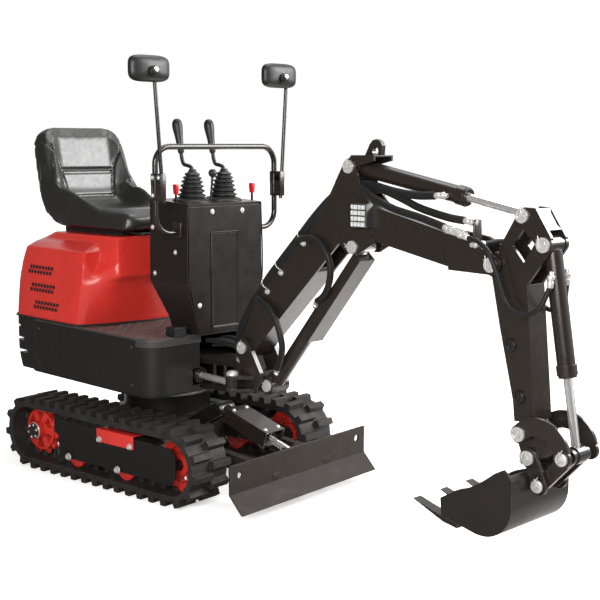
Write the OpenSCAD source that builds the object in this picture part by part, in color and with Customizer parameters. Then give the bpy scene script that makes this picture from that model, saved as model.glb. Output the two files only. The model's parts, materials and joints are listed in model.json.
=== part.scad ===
// Mini excavator with rubber tracks, a dozer blade, an open operator's seat and a swing boom.
// Units are millimetres. +X is the way the boom points, +Y is left, +Z is up.
// The origin is on the ground under the slew axis.

/* [Undercarriage] */
// How far the tracks are turned under the house, in degrees
track_turn = 5.3; // [-45:0.1:45]
// Distance between the centre lines of the two tracks
track_gauge = 680; // [600:5:760]
// Width of one rubber track
track_w = 200; // [160:5:220]
// Spacing of the lugs along the track
link_pitch = 72; // [60:1:80]
// Number of lug rows round one track
link_count = 37; // [34:1:40]
// Radius of the belt's inner face round the wheels
wheel_r = 117; // [100:1:130]
// Thickness of the rubber belt
belt_t = 23; // [18:1:30]
// Height of a lug above the belt
lug_h = 25; // [15:1:35]
// Width of the sprocket and idler rims
rim_w = 38; // [30:1:50]
// Radius of a bottom roller
roller_r = 56; // [40:1:60]
// Radius of the slew bearing
bearing_r = 195; // [160:5:230]

/* [Blade] */
// Width of the dozer blade
blade_w = 860; // [760:5:960]
// Thickness of the blade plate
blade_t = 10; // [8:1:16]
// Hinge of the blade arms, forward and up
blade_hinge = [300, 185];
// Top edge of the blade
blade_top = [805, 232];
// Fold of the blade
blade_fold = [805, 116];
// Cutting edge of the blade
blade_edge = [870, 45];
// Side distance of the two blade arms from the middle
blade_arm_y = 165; // [120:5:190]
// Radius of the two tie-down holes
tie_hole_r = 15; // [8:1:20]
// Lower pin of the blade cylinder, on the blade
blade_cyl_eye = [756, 190];
// Upper pin of the blade cylinder, on the chassis
blade_cyl_base = [352, 318];

/* [House] */
// Width of the house
house_w = 760; // [700:5:840]
// Distance from the slew axis to the tail
tail_x = 705; // [640:5:760]
// Distance from the slew axis to the front of the skirt
front_x = 378; // [340:2:420]
// Height of the bottom of the skirt
skirt_z = 420; // [400:5:460]
// Height of the footboard
floor_z = 672; // [640:2:720]
// Radius of the skirt's upright corners
corner_r = 90; // [50:5:130]
// Thickness of the skirt panels
panel_t = 6; // [3:1:10]
// Height of the hood's shoulder
shoulder_z = 995; // [960:5:1030]
// Height of the flat top of the hood
hood_z = 1066; // [1030:2:1100]
// Distance of the hood's front from the slew axis
hood_front_x = -110; // [-160:5:-60]

/* [Seat] */
// Width of the seat
seat_w = 490; // [420:5:540]
// Height of the top of the cushion
cushion_z = 1182; // [1150:2:1220]
// Height of the top of the backrest
back_z = 1566; // [1480:2:1640]

/* [Console] */
// Half width of the console at its widest
console_half = 210; // [180:2:230]
// Front face of the console
console_x = 420; // [400:2:440]
// Height of the front edge of the console's top
console_z = 1225; // [1180:5:1270]
// Depth of the console at the top
console_depth = 258; // [220:2:300]
// Side distance of the two control levers from the middle
lever_y = 90; // [84:1:110]
// Radius of the base of a lever's bellows
boot_r = 62; // [58:1:76]
// Height of a lever's bellows
boot_h = 106; // [102:1:120]

/* [Handrail and mirrors] */
// Radius of the handrail tube
rail_r = 12; // [10:0.5:16]
// Half width of the handrail
rail_half = 330; // [300:5:360]
// Height of the top of the handrail
rail_z = 1460; // [1400:5:1520]
// Height of the middle of the mirrors
mirror_z = 1764; // [1700:2:1800]

/* [Boom and arm pins] */
// Upright pin of the boom swing
king_x = 530; // [510:2:550]
// Pin of the boom's foot, forward and up
boom_foot = [602, 635];
// Lower pin of the boom cylinder
boom_cyl_base = [722, 489];
// Upper pin of the boom cylinder
boom_cyl_eye = [1210, 1090];
// Rear pin of the arm cylinder
arm_cyl_base = [1180, 1387];
// Lifting eye on top of the boom
lift_eye = [1270, 1445];
// Radius of the hole in the lifting eye
eye_hole_r = 15; // [12:0.5:18]
// Pin between boom and arm
arm_pivot = [1842, 1070];
// Front pin of the arm cylinder
arm_cyl_eye = [1950, 1238];
// Upper pin of the bucket cylinder
bucket_cyl_base = [2034, 1147];
// Pin of the rocker on the arm
rocker_pin = [1982, 521];
// Pin between arm and bucket
bucket_pivot = [2004, 440];
// Pin between rocker, bucket cylinder and link
rocker_eye = [2150, 467];
// Pin of the link on the bucket
bucket_lug = [2049, 354];
// Upright pin of the swing cylinder on the swing bracket, forward and sideways
swing_eye = [588, -118];
// Upright pin of the swing cylinder in the house
swing_base = [60, -75];

/* [Boom, arm and bucket sizes] */
// Width of the boom's box section
boom_w = 110; // [90:2:130]
// Width of the arm's box section
arm_w = 100; // [80:2:104]
// Wall of the box sections
wall_t = 8; // [6:1:12]
// Radius of the main pins
pin_r = 17; // [14:0.5:20]
// Width of the bucket
bucket_w = 340; // [300:5:420]
// Plate thickness of the bucket
bucket_t = 8; // [6:1:12]
// Outer radius of the three tool cylinders
barrel_r = 31; // [28:1:36]
// Radius of the cylinder rods
rod_r = 15; // [12:0.5:18]

/* [Hidden] */
$fn = 48;
paint = "#26231f";
red = "#c3281d";
grey = "#2f3032";
rubber_black = "#1b1b1c";
steel = "#b4b7ba";
fit = 0.1;
slip = 0.3;
pitch_r = wheel_r + belt_t / 2;
wheelbase = (link_count * link_pitch - 2 * PI * pitch_r) / 2;
wheel_z = wheel_r + belt_t + lug_h;
track_y = track_gauge / 2;
track_in = track_y - track_w / 2;
frame_rear_x = -wheelbase / 2 + 120;
frame_front_x = wheelbase / 2 + 34;
frame_low_z = wheel_z - 72;
frame_top_z = wheel_z + 92;
beam_low_z = belt_t + lug_h + 2 * roller_r + 8;
roller_z = belt_t + lug_h + roller_r + slip;
roller_x = [-wheelbase / 2 + 300, wheelbase / 2 - 305];
bearing_z0 = 362;
house_half = house_w / 2;
deck_t = 12;
floor_t = 8;
recess_half = 118;
nose_low_z = skirt_z + 12;
nose_top_z = 560;
swing_z = 490;
boom_half = boom_w / 2;
arm_half = arm_w / 2;
ear_gap = 1.5;
clevis_in = barrel_r + 2;
clevis_out = clevis_in + 14;

function angle_of(a, b) = atan2(b[1] - a[1], b[0] - a[0]);
function along(a, b, t) = a + (b - a) * t;
function polar(p, r, a) = p + r * [cos(a), sin(a)];
function unit(v) = v / norm(v);
function left_of(v) = [-v[1], v[0]];
// Corner i of an outline that runs anticlockwise, moved inwards by d.
function inner_corner(p, i, d) =
    let (n = len(p), u = unit(p[i] - p[(i + n - 1) % n]), v = unit(p[(i + 1) % n] - p[i]))
    p[i] + (left_of(u) + left_of(v)) * d / (1 + u * v);
function shrink(p, d) = [for (i = [0 : len(p) - 1]) inner_corner(p, i, d)];
// Side outline of the boom's box, from the foot along the underside to the tip and back over the top.
boom_box = [boom_foot + [30, -32], boom_cyl_eye + [-35, 53], arm_pivot + [-182, -22],
    arm_pivot + [-182, 92], arm_cyl_base + [100, -137], arm_cyl_base + [30, -110],
    arm_cyl_base + [-50, -112], arm_cyl_base + [-142, -177],
    boom_foot + [66, 205], boom_foot + [-42, 12]];
// Side outline of the horn that carries the arm cylinder, above the box.
boom_horn = [for (p = [[112, -140], [80, -105], [60, -68], [44, -24], [24, 20], [-26, 14], [-142, -177],
    [-60, -220]]) arm_cyl_base + p];
// Side outline of the arm's box, down its rear edge and up its front edge.
arm_box = [arm_pivot + [-8, -40], arm_pivot + [30, -214], arm_pivot + [88, -448], rocker_pin + [-44, 30],
    rocker_pin + [36, 40], arm_pivot + [170, -435], arm_pivot + [147, -201], arm_pivot + [133, -58]];
// Side outline of the arm's head plates, which hold three pins.
arm_head = [arm_pivot + [-8, -40], arm_pivot + [28, 73], arm_cyl_eye + [-27, -6], arm_cyl_eye + [4, 28],
    arm_cyl_eye + [49, 26], bucket_cyl_base + [28, 23], bucket_cyl_base + [22, -24],
    arm_pivot + [133, -58]];

// A profile drawn forward and up, made into a plate from y0 to y1.
module plate(y0, y1) {
    translate([0, y1, 0])
        rotate([90, 0, 0])
            linear_extrude(y1 - y0)
                children();
}

// The same plate on both sides of the middle.
module plates(y0, y1) {
    plate(y0, y1)
        children();
    plate(-y1, -y0)
        children();
}

// A round pin across the machine.
module cross_pin(p, r, y0, y1) {
    translate([p[0], y1, p[1]])
        rotate([90, 0, 0])
            cylinder(r = r, h = y1 - y0);
}

// A pin with a flat head at each end.
module headed_pin(p, r, half) {
    cross_pin(p, r, -half, half);
    cross_pin(p, r + 8, half - 8, half);
    cross_pin(p, r + 8, -half, -half + 8);
}

// Two discs joined along their outer tangents; the web stays a hair inside them.
module link_2d(p1, r1, p2, r2) {
    dir = angle_of(p1, p2);
    lean = acos((r1 - r2) / norm(p2 - p1));
    hair = 0.05;
    translate(p1)
        circle(r1);
    translate(p2)
        circle(r2);
    polygon([polar(p1, r1 - hair, dir + lean), polar(p1, r1 - hair, dir - lean),
        polar(p2, r2 - hair, dir - lean), polar(p2, r2 - hair, dir + lean)]);
}

// A box whose upright edges are rounded.
module round_rect(x0, x1, half, r) {
    for (sy = [-1, 1])
        for (x = [x0 + r, x1 - r])
            translate([x, sy * (half - r)])
                circle(r);
    translate([x0 + r, -half])
        square([x1 - x0 - 2 * r, 2 * half]);
    translate([x0, -half + r])
        square([x1 - x0, 2 * half - 2 * r]);
}

module mirror_y() {
    children();
    mirror([0, 1, 0])
        children();
}

// Everything below the slew bearing is turned under the house.
module turned() {
    rotate([0, 0, track_turn])
        children();
}

// Places a cylinder drawn along +X with its base pin at the origin.
module aim(base, eye) {
    translate([base[0], 0, base[1]])
        rotate([0, -angle_of(base, eye), 0])
            children();
}

// Barrel of a hydraulic cylinder along +X with the base eye at the origin and a bore for the rod.
module barrel(length, r, rod, eye_r, eye_half, pin) {
    difference() {
        union() {
            translate([eye_r * 0.7, 0, 0])
                rotate([0, 90, 0])
                    cylinder(r = r, h = length - eye_r * 0.7);
            translate([length - 42, 0, 0])
                rotate([0, 90, 0])
                    cylinder(r = r + 4, h = 34);
            cross_pin([0, 0], eye_r, -eye_half, eye_half);
        }
        translate([eye_r + 16, 0, 0])
            rotate([0, 90, 0])
                cylinder(r = rod + slip, h = length);
        cross_pin([0, 0], pin + fit, -eye_half - 1, eye_half + 1);
    }
}

// Rod along +X that ends in an eye; start is where it begins inside the barrel.
module rod(start, reach, r, eye_r, eye_half) {
    translate([start, 0, 0])
        rotate([0, 90, 0])
            cylinder(r = r, h = reach - start);
    cross_pin([reach, 0], eye_r, -eye_half, eye_half);
}

// Outline of a stadium round the two wheels, r from the wheel centres.
module loop_2d(r) {
    for (s = [-1, 1])
        translate([s * wheelbase / 2, wheel_z])
            circle(r);
    translate([-wheelbase / 2, wheel_z - r])
        square([wheelbase, 2 * r]);
}

// One lug row at a distance s along the outer face of the belt.
module lug_2d(s) {
    run = wheelbase;
    arc = PI * pitch_r;
    u = s % (2 * run + 2 * arc);
    r = wheel_r + belt_t;
    lug = [[-19, -4], [19, -4], [13, lug_h], [-13, lug_h]];
    if (u < run)
        translate([-run / 2 + u, wheel_z + r])
            polygon(lug);
    else if (u < run + arc)
        translate([run / 2, wheel_z])
            rotate(-(u - run) / pitch_r * 180 / PI)
                translate([0, r])
                    polygon(lug);
    else if (u < 2 * run + arc)
        translate([run / 2 - (u - run - arc), wheel_z - r])
            rotate(180)
                polygon(lug);
    else
        translate([-run / 2, wheel_z])
            rotate(180 - (u - 2 * run - arc) / pitch_r * 180 / PI)
                translate([0, r])
                    polygon(lug);
}

// Half the width of a track; the lugs of the two halves are staggered by half a pitch.
module track_half(y0, y1, shift) {
    plate(y0, y1)
        difference() {
            union() {
                loop_2d(wheel_r + belt_t);
                for (i = [0 : link_count - 1])
                    lug_2d((i + shift) * link_pitch);
            }
            loop_2d(wheel_r);
        }
}

module track_left() {
    color(rubber_black)
        turned() {
            track_half(track_y, track_y + track_w / 2, 0);
            track_half(track_y - track_w / 2, track_y, 0.5);
        }
}

module track_right() {
    color(rubber_black)
        turned()
            mirror([0, 1, 0]) {
                track_half(track_y, track_y + track_w / 2, 0);
                track_half(track_y - track_w / 2, track_y, 0.5);
            }
}

module chassis() {
    color(grey)
        turned()
            difference() {
                union() {
                    translate([-230, -190, 150])
                        cube([460, 380, 130]);
                    translate([0, 0, 270])
                        cylinder(r = bearing_r, h = bearing_z0 - 270);
                    for (x = [-225, 115])
                        translate([x, -track_y + 42, 166])
                            cube([110, 2 * track_y - 84, 84]);
                    plates(blade_arm_y - 34, blade_arm_y - 22)
                        link_2d(blade_hinge, 32, blade_hinge - [90, 0], 34);
                    plates(34, 46)
                        link_2d(blade_cyl_base, 30, [200, 240], 30);
                    cross_pin(blade_cyl_base, pin_r, -50, 50);
                    mirror_y()
                        cross_pin(blade_hinge, pin_r, blade_arm_y - 30, blade_arm_y + 22);
                }
                translate([-200, -160, 141])
                    cube([400, 320, 121]);
                translate([0, 0, 200])
                    cylinder(r = bearing_r - 60, h = 200);
            }
}

module slew_bearing() {
    color(steel)
        difference() {
            translate([0, 0, bearing_z0])
                cylinder(r = bearing_r - 10, h = skirt_z - bearing_z0 - slip);
            translate([0, 0, bearing_z0 - 1])
                cylinder(r = bearing_r - 60, h = 100);
        }
}

module track_frames() {
    color(grey)
        turned()
            mirror_y() {
                difference() {
                    plate(track_in + 58, track_in + 140)
                        polygon([[frame_rear_x, beam_low_z + 10], [frame_rear_x + 20, beam_low_z],
                            [frame_front_x - 190, beam_low_z], [frame_front_x - 160, beam_low_z + 30],
                            [frame_front_x - 190, frame_top_z - 12], [frame_rear_x, frame_top_z - 6]]);
                    plate(track_in + 66, track_in + 132)
                        polygon([[frame_rear_x + 10, beam_low_z + 16], [frame_rear_x + 24, beam_low_z + 9],
                            [frame_front_x - 198, beam_low_z + 9], [frame_front_x - 170, beam_low_z + 30],
                            [frame_front_x - 198, frame_top_z - 22],
                            [frame_rear_x + 10, frame_top_z - 16]]);
                }
                plate(track_in + 184, track_in + 194)
                    polygon([[-245, frame_low_z + 8], [-235, frame_low_z], [frame_front_x - 30, frame_low_z],
                        [frame_front_x, frame_low_z + 30], [frame_front_x, frame_top_z - 40],
                        [frame_front_x - 30, frame_top_z - 14], [-235, frame_top_z],
                        [-245, frame_top_z - 8]]);
                plate(track_in + 130, track_in + 190)
                    polygon([[-240, frame_top_z - 9], [frame_front_x - 130, frame_top_z - 19],
                        [frame_front_x - 130, frame_top_z - 11], [-240, frame_top_z - 1]]);
                cross_pin([wheelbase / 2, wheel_z], 22, track_in + 52, track_in + 188);
                plate(track_in + 50, track_in + 62)
                    link_2d([wheelbase / 2, wheel_z], 34, [wheelbase / 2 - 200, wheel_z + 20], 36);
                for (x = roller_x)
                    cross_pin([x, roller_z], 14, track_in + 190, track_in + 204);
            }
}

// A wheel of one turned profile, drawn as radius and width about the wheel's middle plane.
module wheel(p, y) {
    translate([p[0], y, p[1]])
        rotate([90, 0, 0])
            rotate_extrude()
                children();
}

module sprockets() {
    tip_r = wheel_r - slip - 0.5;
    tooth = [[-16, 80], [16, 80], [9, tip_r], [-9, tip_r]];
    color(red)
        turned()
            mirror_y()
                translate([-wheelbase / 2, track_y + 8, wheel_z])
                    rotate([90, 0, 0])
                        difference() {
                            union() {
                                cylinder(r = wheel_r - 22, h = rim_w, center = true);
                                for (i = [0 : 10])
                                    rotate(i * 360 / 11)
                                        translate([0, 0, -10])
                                            linear_extrude(20)
                                                polygon(tooth);
                                translate([0, 0, -52])
                                    cylinder(r = 40, h = 60);
                            }
                            for (i = [0 : 5])
                                rotate(i * 60)
                                    translate([0, 0, -rim_w])
                                        linear_extrude(rim_w + 60)
                                            polygon([[-9, 44], [9, 44], [26, 82], [-26, 82]]);
                        }
}

module idlers() {
    color(red)
        turned()
            mirror_y()
                difference() {
                    wheel([wheelbase / 2, wheel_z], track_y)
                        polygon([[22 + fit, -34], [46, -34], [46, -8], [80, -8], [80, -rim_w / 2],
                            [wheel_r - slip, -rim_w / 2], [wheel_r - slip, rim_w / 2], [80, rim_w / 2],
                            [80, 8], [46, 8], [46, 34], [22 + fit, 34]]);
                    for (i = [0 : 5])
                        translate([wheelbase / 2, track_y, wheel_z])
                            rotate([90, i * 60, 0])
                                linear_extrude(40, center = true)
                                    polygon([[-8, 50], [8, 50], [18, 77], [-18, 77]]);
                }
}

module rollers() {
    color(red)
        turned()
            mirror_y()
                for (x = roller_x) {
                    wheel([x, roller_z], track_y)
                        polygon([[0, -60], [roller_r, -60], [roller_r, -36], [36, -30], [36, 30],
                            [roller_r, 36], [roller_r, 60], [0, 60]]);
                    cross_pin([x, roller_z], 16, track_y + 55, track_in + 184 - fit);
                }
}

module travel_motors() {
    color(grey)
        turned()
            mirror_y() {
                cross_pin([-wheelbase / 2, wheel_z], 66, track_in - 10, track_y - 11 - slip);
                plate(track_in + 40, track_in + 58)
                    link_2d([-wheelbase / 2, wheel_z], 72, [frame_rear_x + 60, wheel_z], 52);
            }
}

module blade() {
    color(grey)
        turned()
            difference() {
                union() {
                    plate(-blade_w / 2, blade_w / 2)
                        polygon([blade_top, blade_fold, blade_edge, blade_edge - [blade_t, 0],
                            blade_fold - [blade_t, 2], blade_top - [blade_t, 0]]);
                    plates(blade_arm_y - 18, blade_arm_y + 18) {
                        link_2d(blade_hinge, 30, blade_fold - [30, -20], 34);
                        translate(blade_fold - [46, 20])
                            square([40, 100]);
                    }
                    plates(28, 42)
                        polygon([blade_cyl_eye + [-30, -10], blade_cyl_eye + [-24, 26],
                            [blade_top[0] - 2, blade_cyl_eye[1] + 26],
                            [blade_top[0] - 2, blade_cyl_eye[1] - 70], blade_cyl_eye + [10, -70]]);
                }
                cross_pin(blade_hinge, pin_r + fit, -blade_w, blade_w);
                for (sy = [-1, 1])
                    translate([blade_top[0] - 60, sy * 375, 187])
                        rotate([0, 90, 0])
                            cylinder(r = tie_hole_r, h = 100);
            }
}

module blade_cyl_barrel() {
    color(paint)
        turned()
            aim(blade_cyl_base, blade_cyl_eye) {
                barrel(300, 30, rod_r, 30, 32, pin_r);
                difference() {
                    translate([70, -58, -20])
                        cube([240, 116, 66]);
                    translate([60, -52, -21])
                        cube([260, 104, 61]);
                }
                for (x = [90, 200])
                    translate([x, -10, 24])
                        cube([40, 20, 20]);
            }
}

module blade_cyl_rod() {
    color(steel)
        turned()
            aim(blade_cyl_base, blade_cyl_eye)
                rod(160, norm(blade_cyl_eye - blade_cyl_base), rod_r, 26, 26);
}

module deck() {
    color(grey) {
        difference() {
            union() {
                translate([0, 0, skirt_z])
                    linear_extrude(deck_t)
                        round_rect(-tail_x + 112, front_x - 20, house_half - 12, corner_r - 10);
                for (z = [nose_low_z - 2, nose_top_z - 20])
                    translate([0, 0, z])
                        linear_extrude(20)
                            link_2d([king_x, 0], 52, [front_x - 130, 0], 110);
                for (y = [-8, 52])
                    translate([front_x - 110, y, skirt_z + deck_t - 1])
                        cube([70, 16, nose_top_z - skirt_z - deck_t]);
            }
            translate([0, 0, skirt_z - 1])
                cylinder(r = 70, h = 20);
            translate([king_x, 0, 400])
                cylinder(r = 24 + fit, h = 300);
        }
        translate([swing_base[0], swing_base[1], skirt_z + 2])
            cylinder(r = 15, h = swing_z - skirt_z + 30);
    }
}

module counterweight() {
    slope = 100;
    color(grey)
        difference() {
            intersection() {
                translate([0, 0, skirt_z + deck_t])
                    linear_extrude(floor_z - skirt_z - deck_t)
                        difference() {
                            round_rect(-tail_x, front_x, house_half, corner_r);
                            translate([-tail_x + 210, -house_w])
                                square([tail_x + front_x, 2 * house_w]);
                            translate([-tail_x + 140, -house_half + 70])
                                square([200, house_w - 140]);
                        }
                plate(-house_w, house_w)
                    polygon([[-tail_x, floor_z + 1], [-tail_x, floor_z - 30], [-tail_x + slope, skirt_z],
                        [0, skirt_z], [0, floor_z + 1]]);
            }
            for (i = [0 : 2])
                translate([-tail_x - 20 + 26 * i, 0, floor_z - 56 - 58 * i])
                    linear_extrude(14)
                        difference() {
                            round_rect(-100, 104, house_half + 60, 60);
                            round_rect(46, 500, house_half - 22, corner_r);
                        }
        }
}

module skirt() {
    color(grey)
        difference() {
            translate([0, 0, skirt_z + deck_t])
                linear_extrude(floor_z - floor_t - skirt_z - deck_t)
                    difference() {
                        round_rect(-tail_x, front_x, house_half, corner_r);
                        round_rect(-tail_x + panel_t, front_x - panel_t, house_half - panel_t,
                            corner_r - panel_t);
                        translate([-tail_x - 1, -house_w])
                            square([211, 2 * house_w]);
                        translate([0, -recess_half])
                            square([front_x + 10, 2 * recess_half]);
                    }
            translate([front_x - 40, -recess_half - 40, swing_z - 36])
                cube([60, 60, 72]);
        }
}

module footboard() {
    lip = 34;
    color(grey) {
        translate([0, 0, floor_z - floor_t])
            linear_extrude(floor_t)
                difference() {
                    round_rect(-tail_x, front_x + 8, house_half, corner_r);
                    translate([-tail_x - 1, -house_w])
                        square([211, 2 * house_w]);
                    translate([-tail_x + 209, -house_half + 40])
                        square([tail_x + hood_front_x - 244, house_w - 80]);
                }
        translate([0, 0, floor_z - lip])
            linear_extrude(lip - floor_t + 1)
                difference() {
                    round_rect(0, front_x + 8, house_half + 6, corner_r + 4);
                    round_rect(-200, front_x + fit, house_half + fit, corner_r);
                    translate([-1, -house_w])
                        square([front_x - corner_r, 2 * house_w]);
                    translate([0, -recess_half])
                        square([front_x + 20, 2 * recess_half]);
                }
    }
}

// Half outlines of the hood from the tail round the right side to the front, at rising heights.
// Each row is a height and eleven points; the front corners are scooped between the belt and the shoulder.
hood_levels = [
    [floor_z + slip, [[-700, 0], [-700, -250], [-690, -345], [-640, -382], [-400, -384], [-200, -383],
        [-160, -377], [-140, -350], [-100, -250], [-75, -130], [-60, 0]]],
    [825, [[-690, 0], [-690, -245], [-678, -338], [-630, -374], [-400, -377], [-180, -376],
        [-130, -371], [-105, -345], [-62, -250], [-50, -130], [-44, 0]]],
    [866, [[-682, 0], [-682, -244], [-670, -334], [-626, -370], [-400, -373], [-176, -372],
        [-126, -367], [-100, -335], [-40, -250], [-30, -130], [-26, 0]]],
    [894, [[-675, 0], [-675, -243], [-663, -330], [-622, -366], [-400, -369], [-174, -369],
        [-124, -364], [-104, -318], [-4, -250], [-2, -130], [-2, 0]]],
    [950, [[-655, 0], [-655, -240], [-645, -322], [-612, -359], [-400, -362], [-172, -363],
        [-122, -358], [-116, -278], [-12, -250], [-8, -130], [-8, 0]]],
    [shoulder_z + 5, [[-628, 0], [-628, -235], [-620, -310], [-596, -350], [-400, -354], [-172, -356],
        [-120, -350], [-118, -266], [-20, -248], [-16, -130], [-16, 0]]],
    [shoulder_z + 30, [[-604, 0], [-604, -230], [-598, -290], [-570, -312], [-400, -306], [-210, -300],
        [-170, -286], [-130, -258], [-24, -246], [-20, -130], [-20, 0]]],
    [shoulder_z + 40, [[-590, 0], [-590, -225], [-584, -262], [-548, -276], [-400, -270], [-214, -264],
        [-176, -258], [-128, -252], [-26, -244], [-22, -130], [-22, 0]]],
    [hood_z, [[-535, 0], [-535, -205], [-530, -232], [-505, -246], [-400, -248], [-216, -247],
        [-176, -246], [-120, -245], [-32, -236], [-28, -130], [-28, 0]]]];

function mirrored(p) = concat(p, [for (i = [len(p) - 2 : -1 : 1]) [p[i][0], -p[i][1]]]);
function ring(row) = [for (p = mirrored(row[1])) [p[0], p[1], row[0]]];

// A solid skinned over a stack of outlines that all have n points.
module skinned(rings) {
    n = len(rings[0]);
    top = len(rings) - 1;
    bottom = [for (i = [1 : n - 2]) [0, i, i + 1]];
    lid = [for (i = [1 : n - 2]) [top * n, top * n + i + 1, top * n + i]];
    lower = [for (k = [0 : top - 1]) for (i = [0 : n - 1])
        [k * n + i, (k + 1) * n + i, k * n + (i + 1) % n]];
    upper = [for (k = [0 : top - 1]) for (i = [0 : n - 1])
        [k * n + (i + 1) % n, (k + 1) * n + i, (k + 1) * n + (i + 1) % n]];
    polyhedron([for (r = rings) for (p = r) p], concat(bottom, lid, lower, upper));
}

module hood() {
    wall = 6;
    color(red)
        difference() {
            skinned([for (row = hood_levels) ring(row)]);
            translate([-600, -310, floor_z - 1])
                cube([430, 620, shoulder_z - floor_z - 20]);
            translate([-510, -225, floor_z - 1])
                cube([440, 450, hood_z - floor_z - wall]);
        }
}

module engine() {
    color(grey)
        translate([-tail_x + 145, -house_half + 200, skirt_z + deck_t])
            cube([400, house_w - 400, 480]);
}

module seat_base() {
    color(rubber_black)
        for (sy = [-1, 1])
            translate([-540, sy * 150 - 20, hood_z])
                cube([440, 40, 24]);
}

module seat_cushion() {
    z0 = hood_z + 24;
    color(rubber_black) {
        translate([0, 0, z0])
            linear_extrude(cushion_z - z0)
                round_rect(-600, 20, seat_w / 2, 110);
        plates(seat_w / 2 - 62, seat_w / 2 - 4)
            polygon([[-600, cushion_z - 1], [-160, cushion_z - 1], [-250, cushion_z + 22],
                [-420, cushion_z + 86], [-600, cushion_z + 130]]);
    }
}

module seat_back() {
    low_z = cushion_z + slip;
    wing_half = seat_w / 2 - 62 - slip;
    color(rubber_black) {
        plate(-wing_half, wing_half)
            polygon([[-530, low_z], [-640, low_z], [-690, back_z - 150], [-620, back_z - 150]]);
        difference() {
            plate(-seat_w / 2, seat_w / 2)
                polygon([[-606, cushion_z + 131], [-665, cushion_z + 131], [-705, back_z - 40],
                    [-680, back_z], [-630, back_z - 10], [-600, back_z - 90]]);
            for (sy = [-1, 1])
                translate([-800, sy * (seat_w / 2 - 90), back_z - 90])
                    rotate([0, 90, 0])
                        difference() {
                            translate([-120, sy > 0 ? 0 : -120, 0])
                                cube([120, 120, 300]);
                            translate([0, 0, -1])
                                cylinder(r = 90, h = 302);
                        }
        }
    }
}

module console() {
    rear_x = console_x - console_depth;
    color(paint)
        difference() {
            intersection() {
                plate(-console_half, console_half)
                    polygon([[console_x - 6, floor_z], [console_x - 6, console_z], [rear_x, console_z + 14],
                        [rear_x, 894], [rear_x + 72, 742], [rear_x + 80, floor_z]]);
                translate([0, 0, floor_z])
                    rotate([90, 0, 90])
                        linear_extrude(600)
                            polygon([[-150, 0], [150, 0], [console_half, 220], [console_half - 6, 600],
                                [-console_half + 6, 600], [-console_half, 220]]);
            }
            translate([rear_x + 90, -140, floor_z - 1])
                cube([console_depth - 102, 280, 480]);
        }
}

module console_panel() {
    color(paint)
        translate([console_x - 6 + 0.2, 0, floor_z])
            rotate([90, 0, 90])
                linear_extrude(6)
                    polygon([[-144, 12], [144, 12], [console_half - 6, 220], [console_half - 12, 540],
                        [-console_half + 12, 540], [-console_half + 6, 220]]);
}

// Rubber bellows on the console's sloping top; the folds get narrower as they go up.
module lever_boots() {
    base = [[0, 0], [boot_r, 0], [boot_r, 6]];
    folds = [for (i = [0 : 9]) [(i % 2 == 0 ? 42 : 54) - 3 * i, 10 + i * 9.5]];
    color(rubber_black)
        for (y = [-lever_y, lever_y])
            translate([300, y, console_z + 6.4])
                rotate([0, 3.18, 0])
                    rotate_extrude()
                        polygon(concat(base, folds, [[14, boot_h], [0, boot_h]]));
}

module levers() {
    color(rubber_black)
        for (y = [-lever_y, lever_y])
            translate([304, y, console_z + boot_h + 14.3]) {
                rotate([0, -70, 0])
                    cylinder(r = 8, h = 70);
                translate([-64, 0, 22])
                    rotate([0, -12, 0]) {
                        cylinder(r = 9, h = 80);
                        translate([0, 0, 60])
                            cylinder(r1 = 15, r2 = 23, h = 90);
                        translate([0, 0, 149])
                            cylinder(r1 = 23, r2 = 12, h = 20);
                    }
            }
}

module pedals() {
    color(rubber_black)
        translate([330, -260, floor_z])
            cube([60, 60, 40]);
}

// A quarter bend of tube in the upright plane across the machine.
module rail_bend(y, z, r, a) {
    translate([0, y, z])
        rotate([90, 0, 90])
            rotate(a)
                rotate_extrude(angle = 90)
                    translate([r, 0])
                        circle(rail_r);
}

module handrail() {
    bend = 72;
    low_z = console_z - 118;
    color(paint)
        translate([366, 0, 0])
            mirror_y() {
                translate([0, rail_half, low_z + bend])
                    cylinder(r = rail_r, h = rail_z - low_z - 2 * bend);
                rail_bend(rail_half - bend, rail_z - bend, bend, 0);
                rail_bend(rail_half - bend, low_z + bend, bend, 270);
                translate([0, 0, rail_z])
                    rotate([-90, 0, 0])
                        cylinder(r = rail_r, h = rail_half - bend);
                translate([0, console_half - 3, low_z])
                    rotate([-90, 0, 0])
                        cylinder(r = rail_r, h = rail_half - bend - console_half + 3);
            }
}

module mirror_poles() {
    lean = atan2(38, 535);
    color(paint)
        mirror_y() {
            translate([412, rail_half - 4, 1232])
                rotate([-lean, 0, 0])
                    cylinder(r = 8, h = 540);
            translate([366 + rail_r + fit, rail_half - 8, 1310])
                cube([38, 18, 24]);
        }
}

module mirrors() {
    color(rubber_black)
        for (y = [-402, 300])
            translate([420.3, y, mirror_z])
                rotate([90, 0, 90])
                    linear_extrude(40)
                        round_rect(-96, 96, 46, 30);
}

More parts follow.
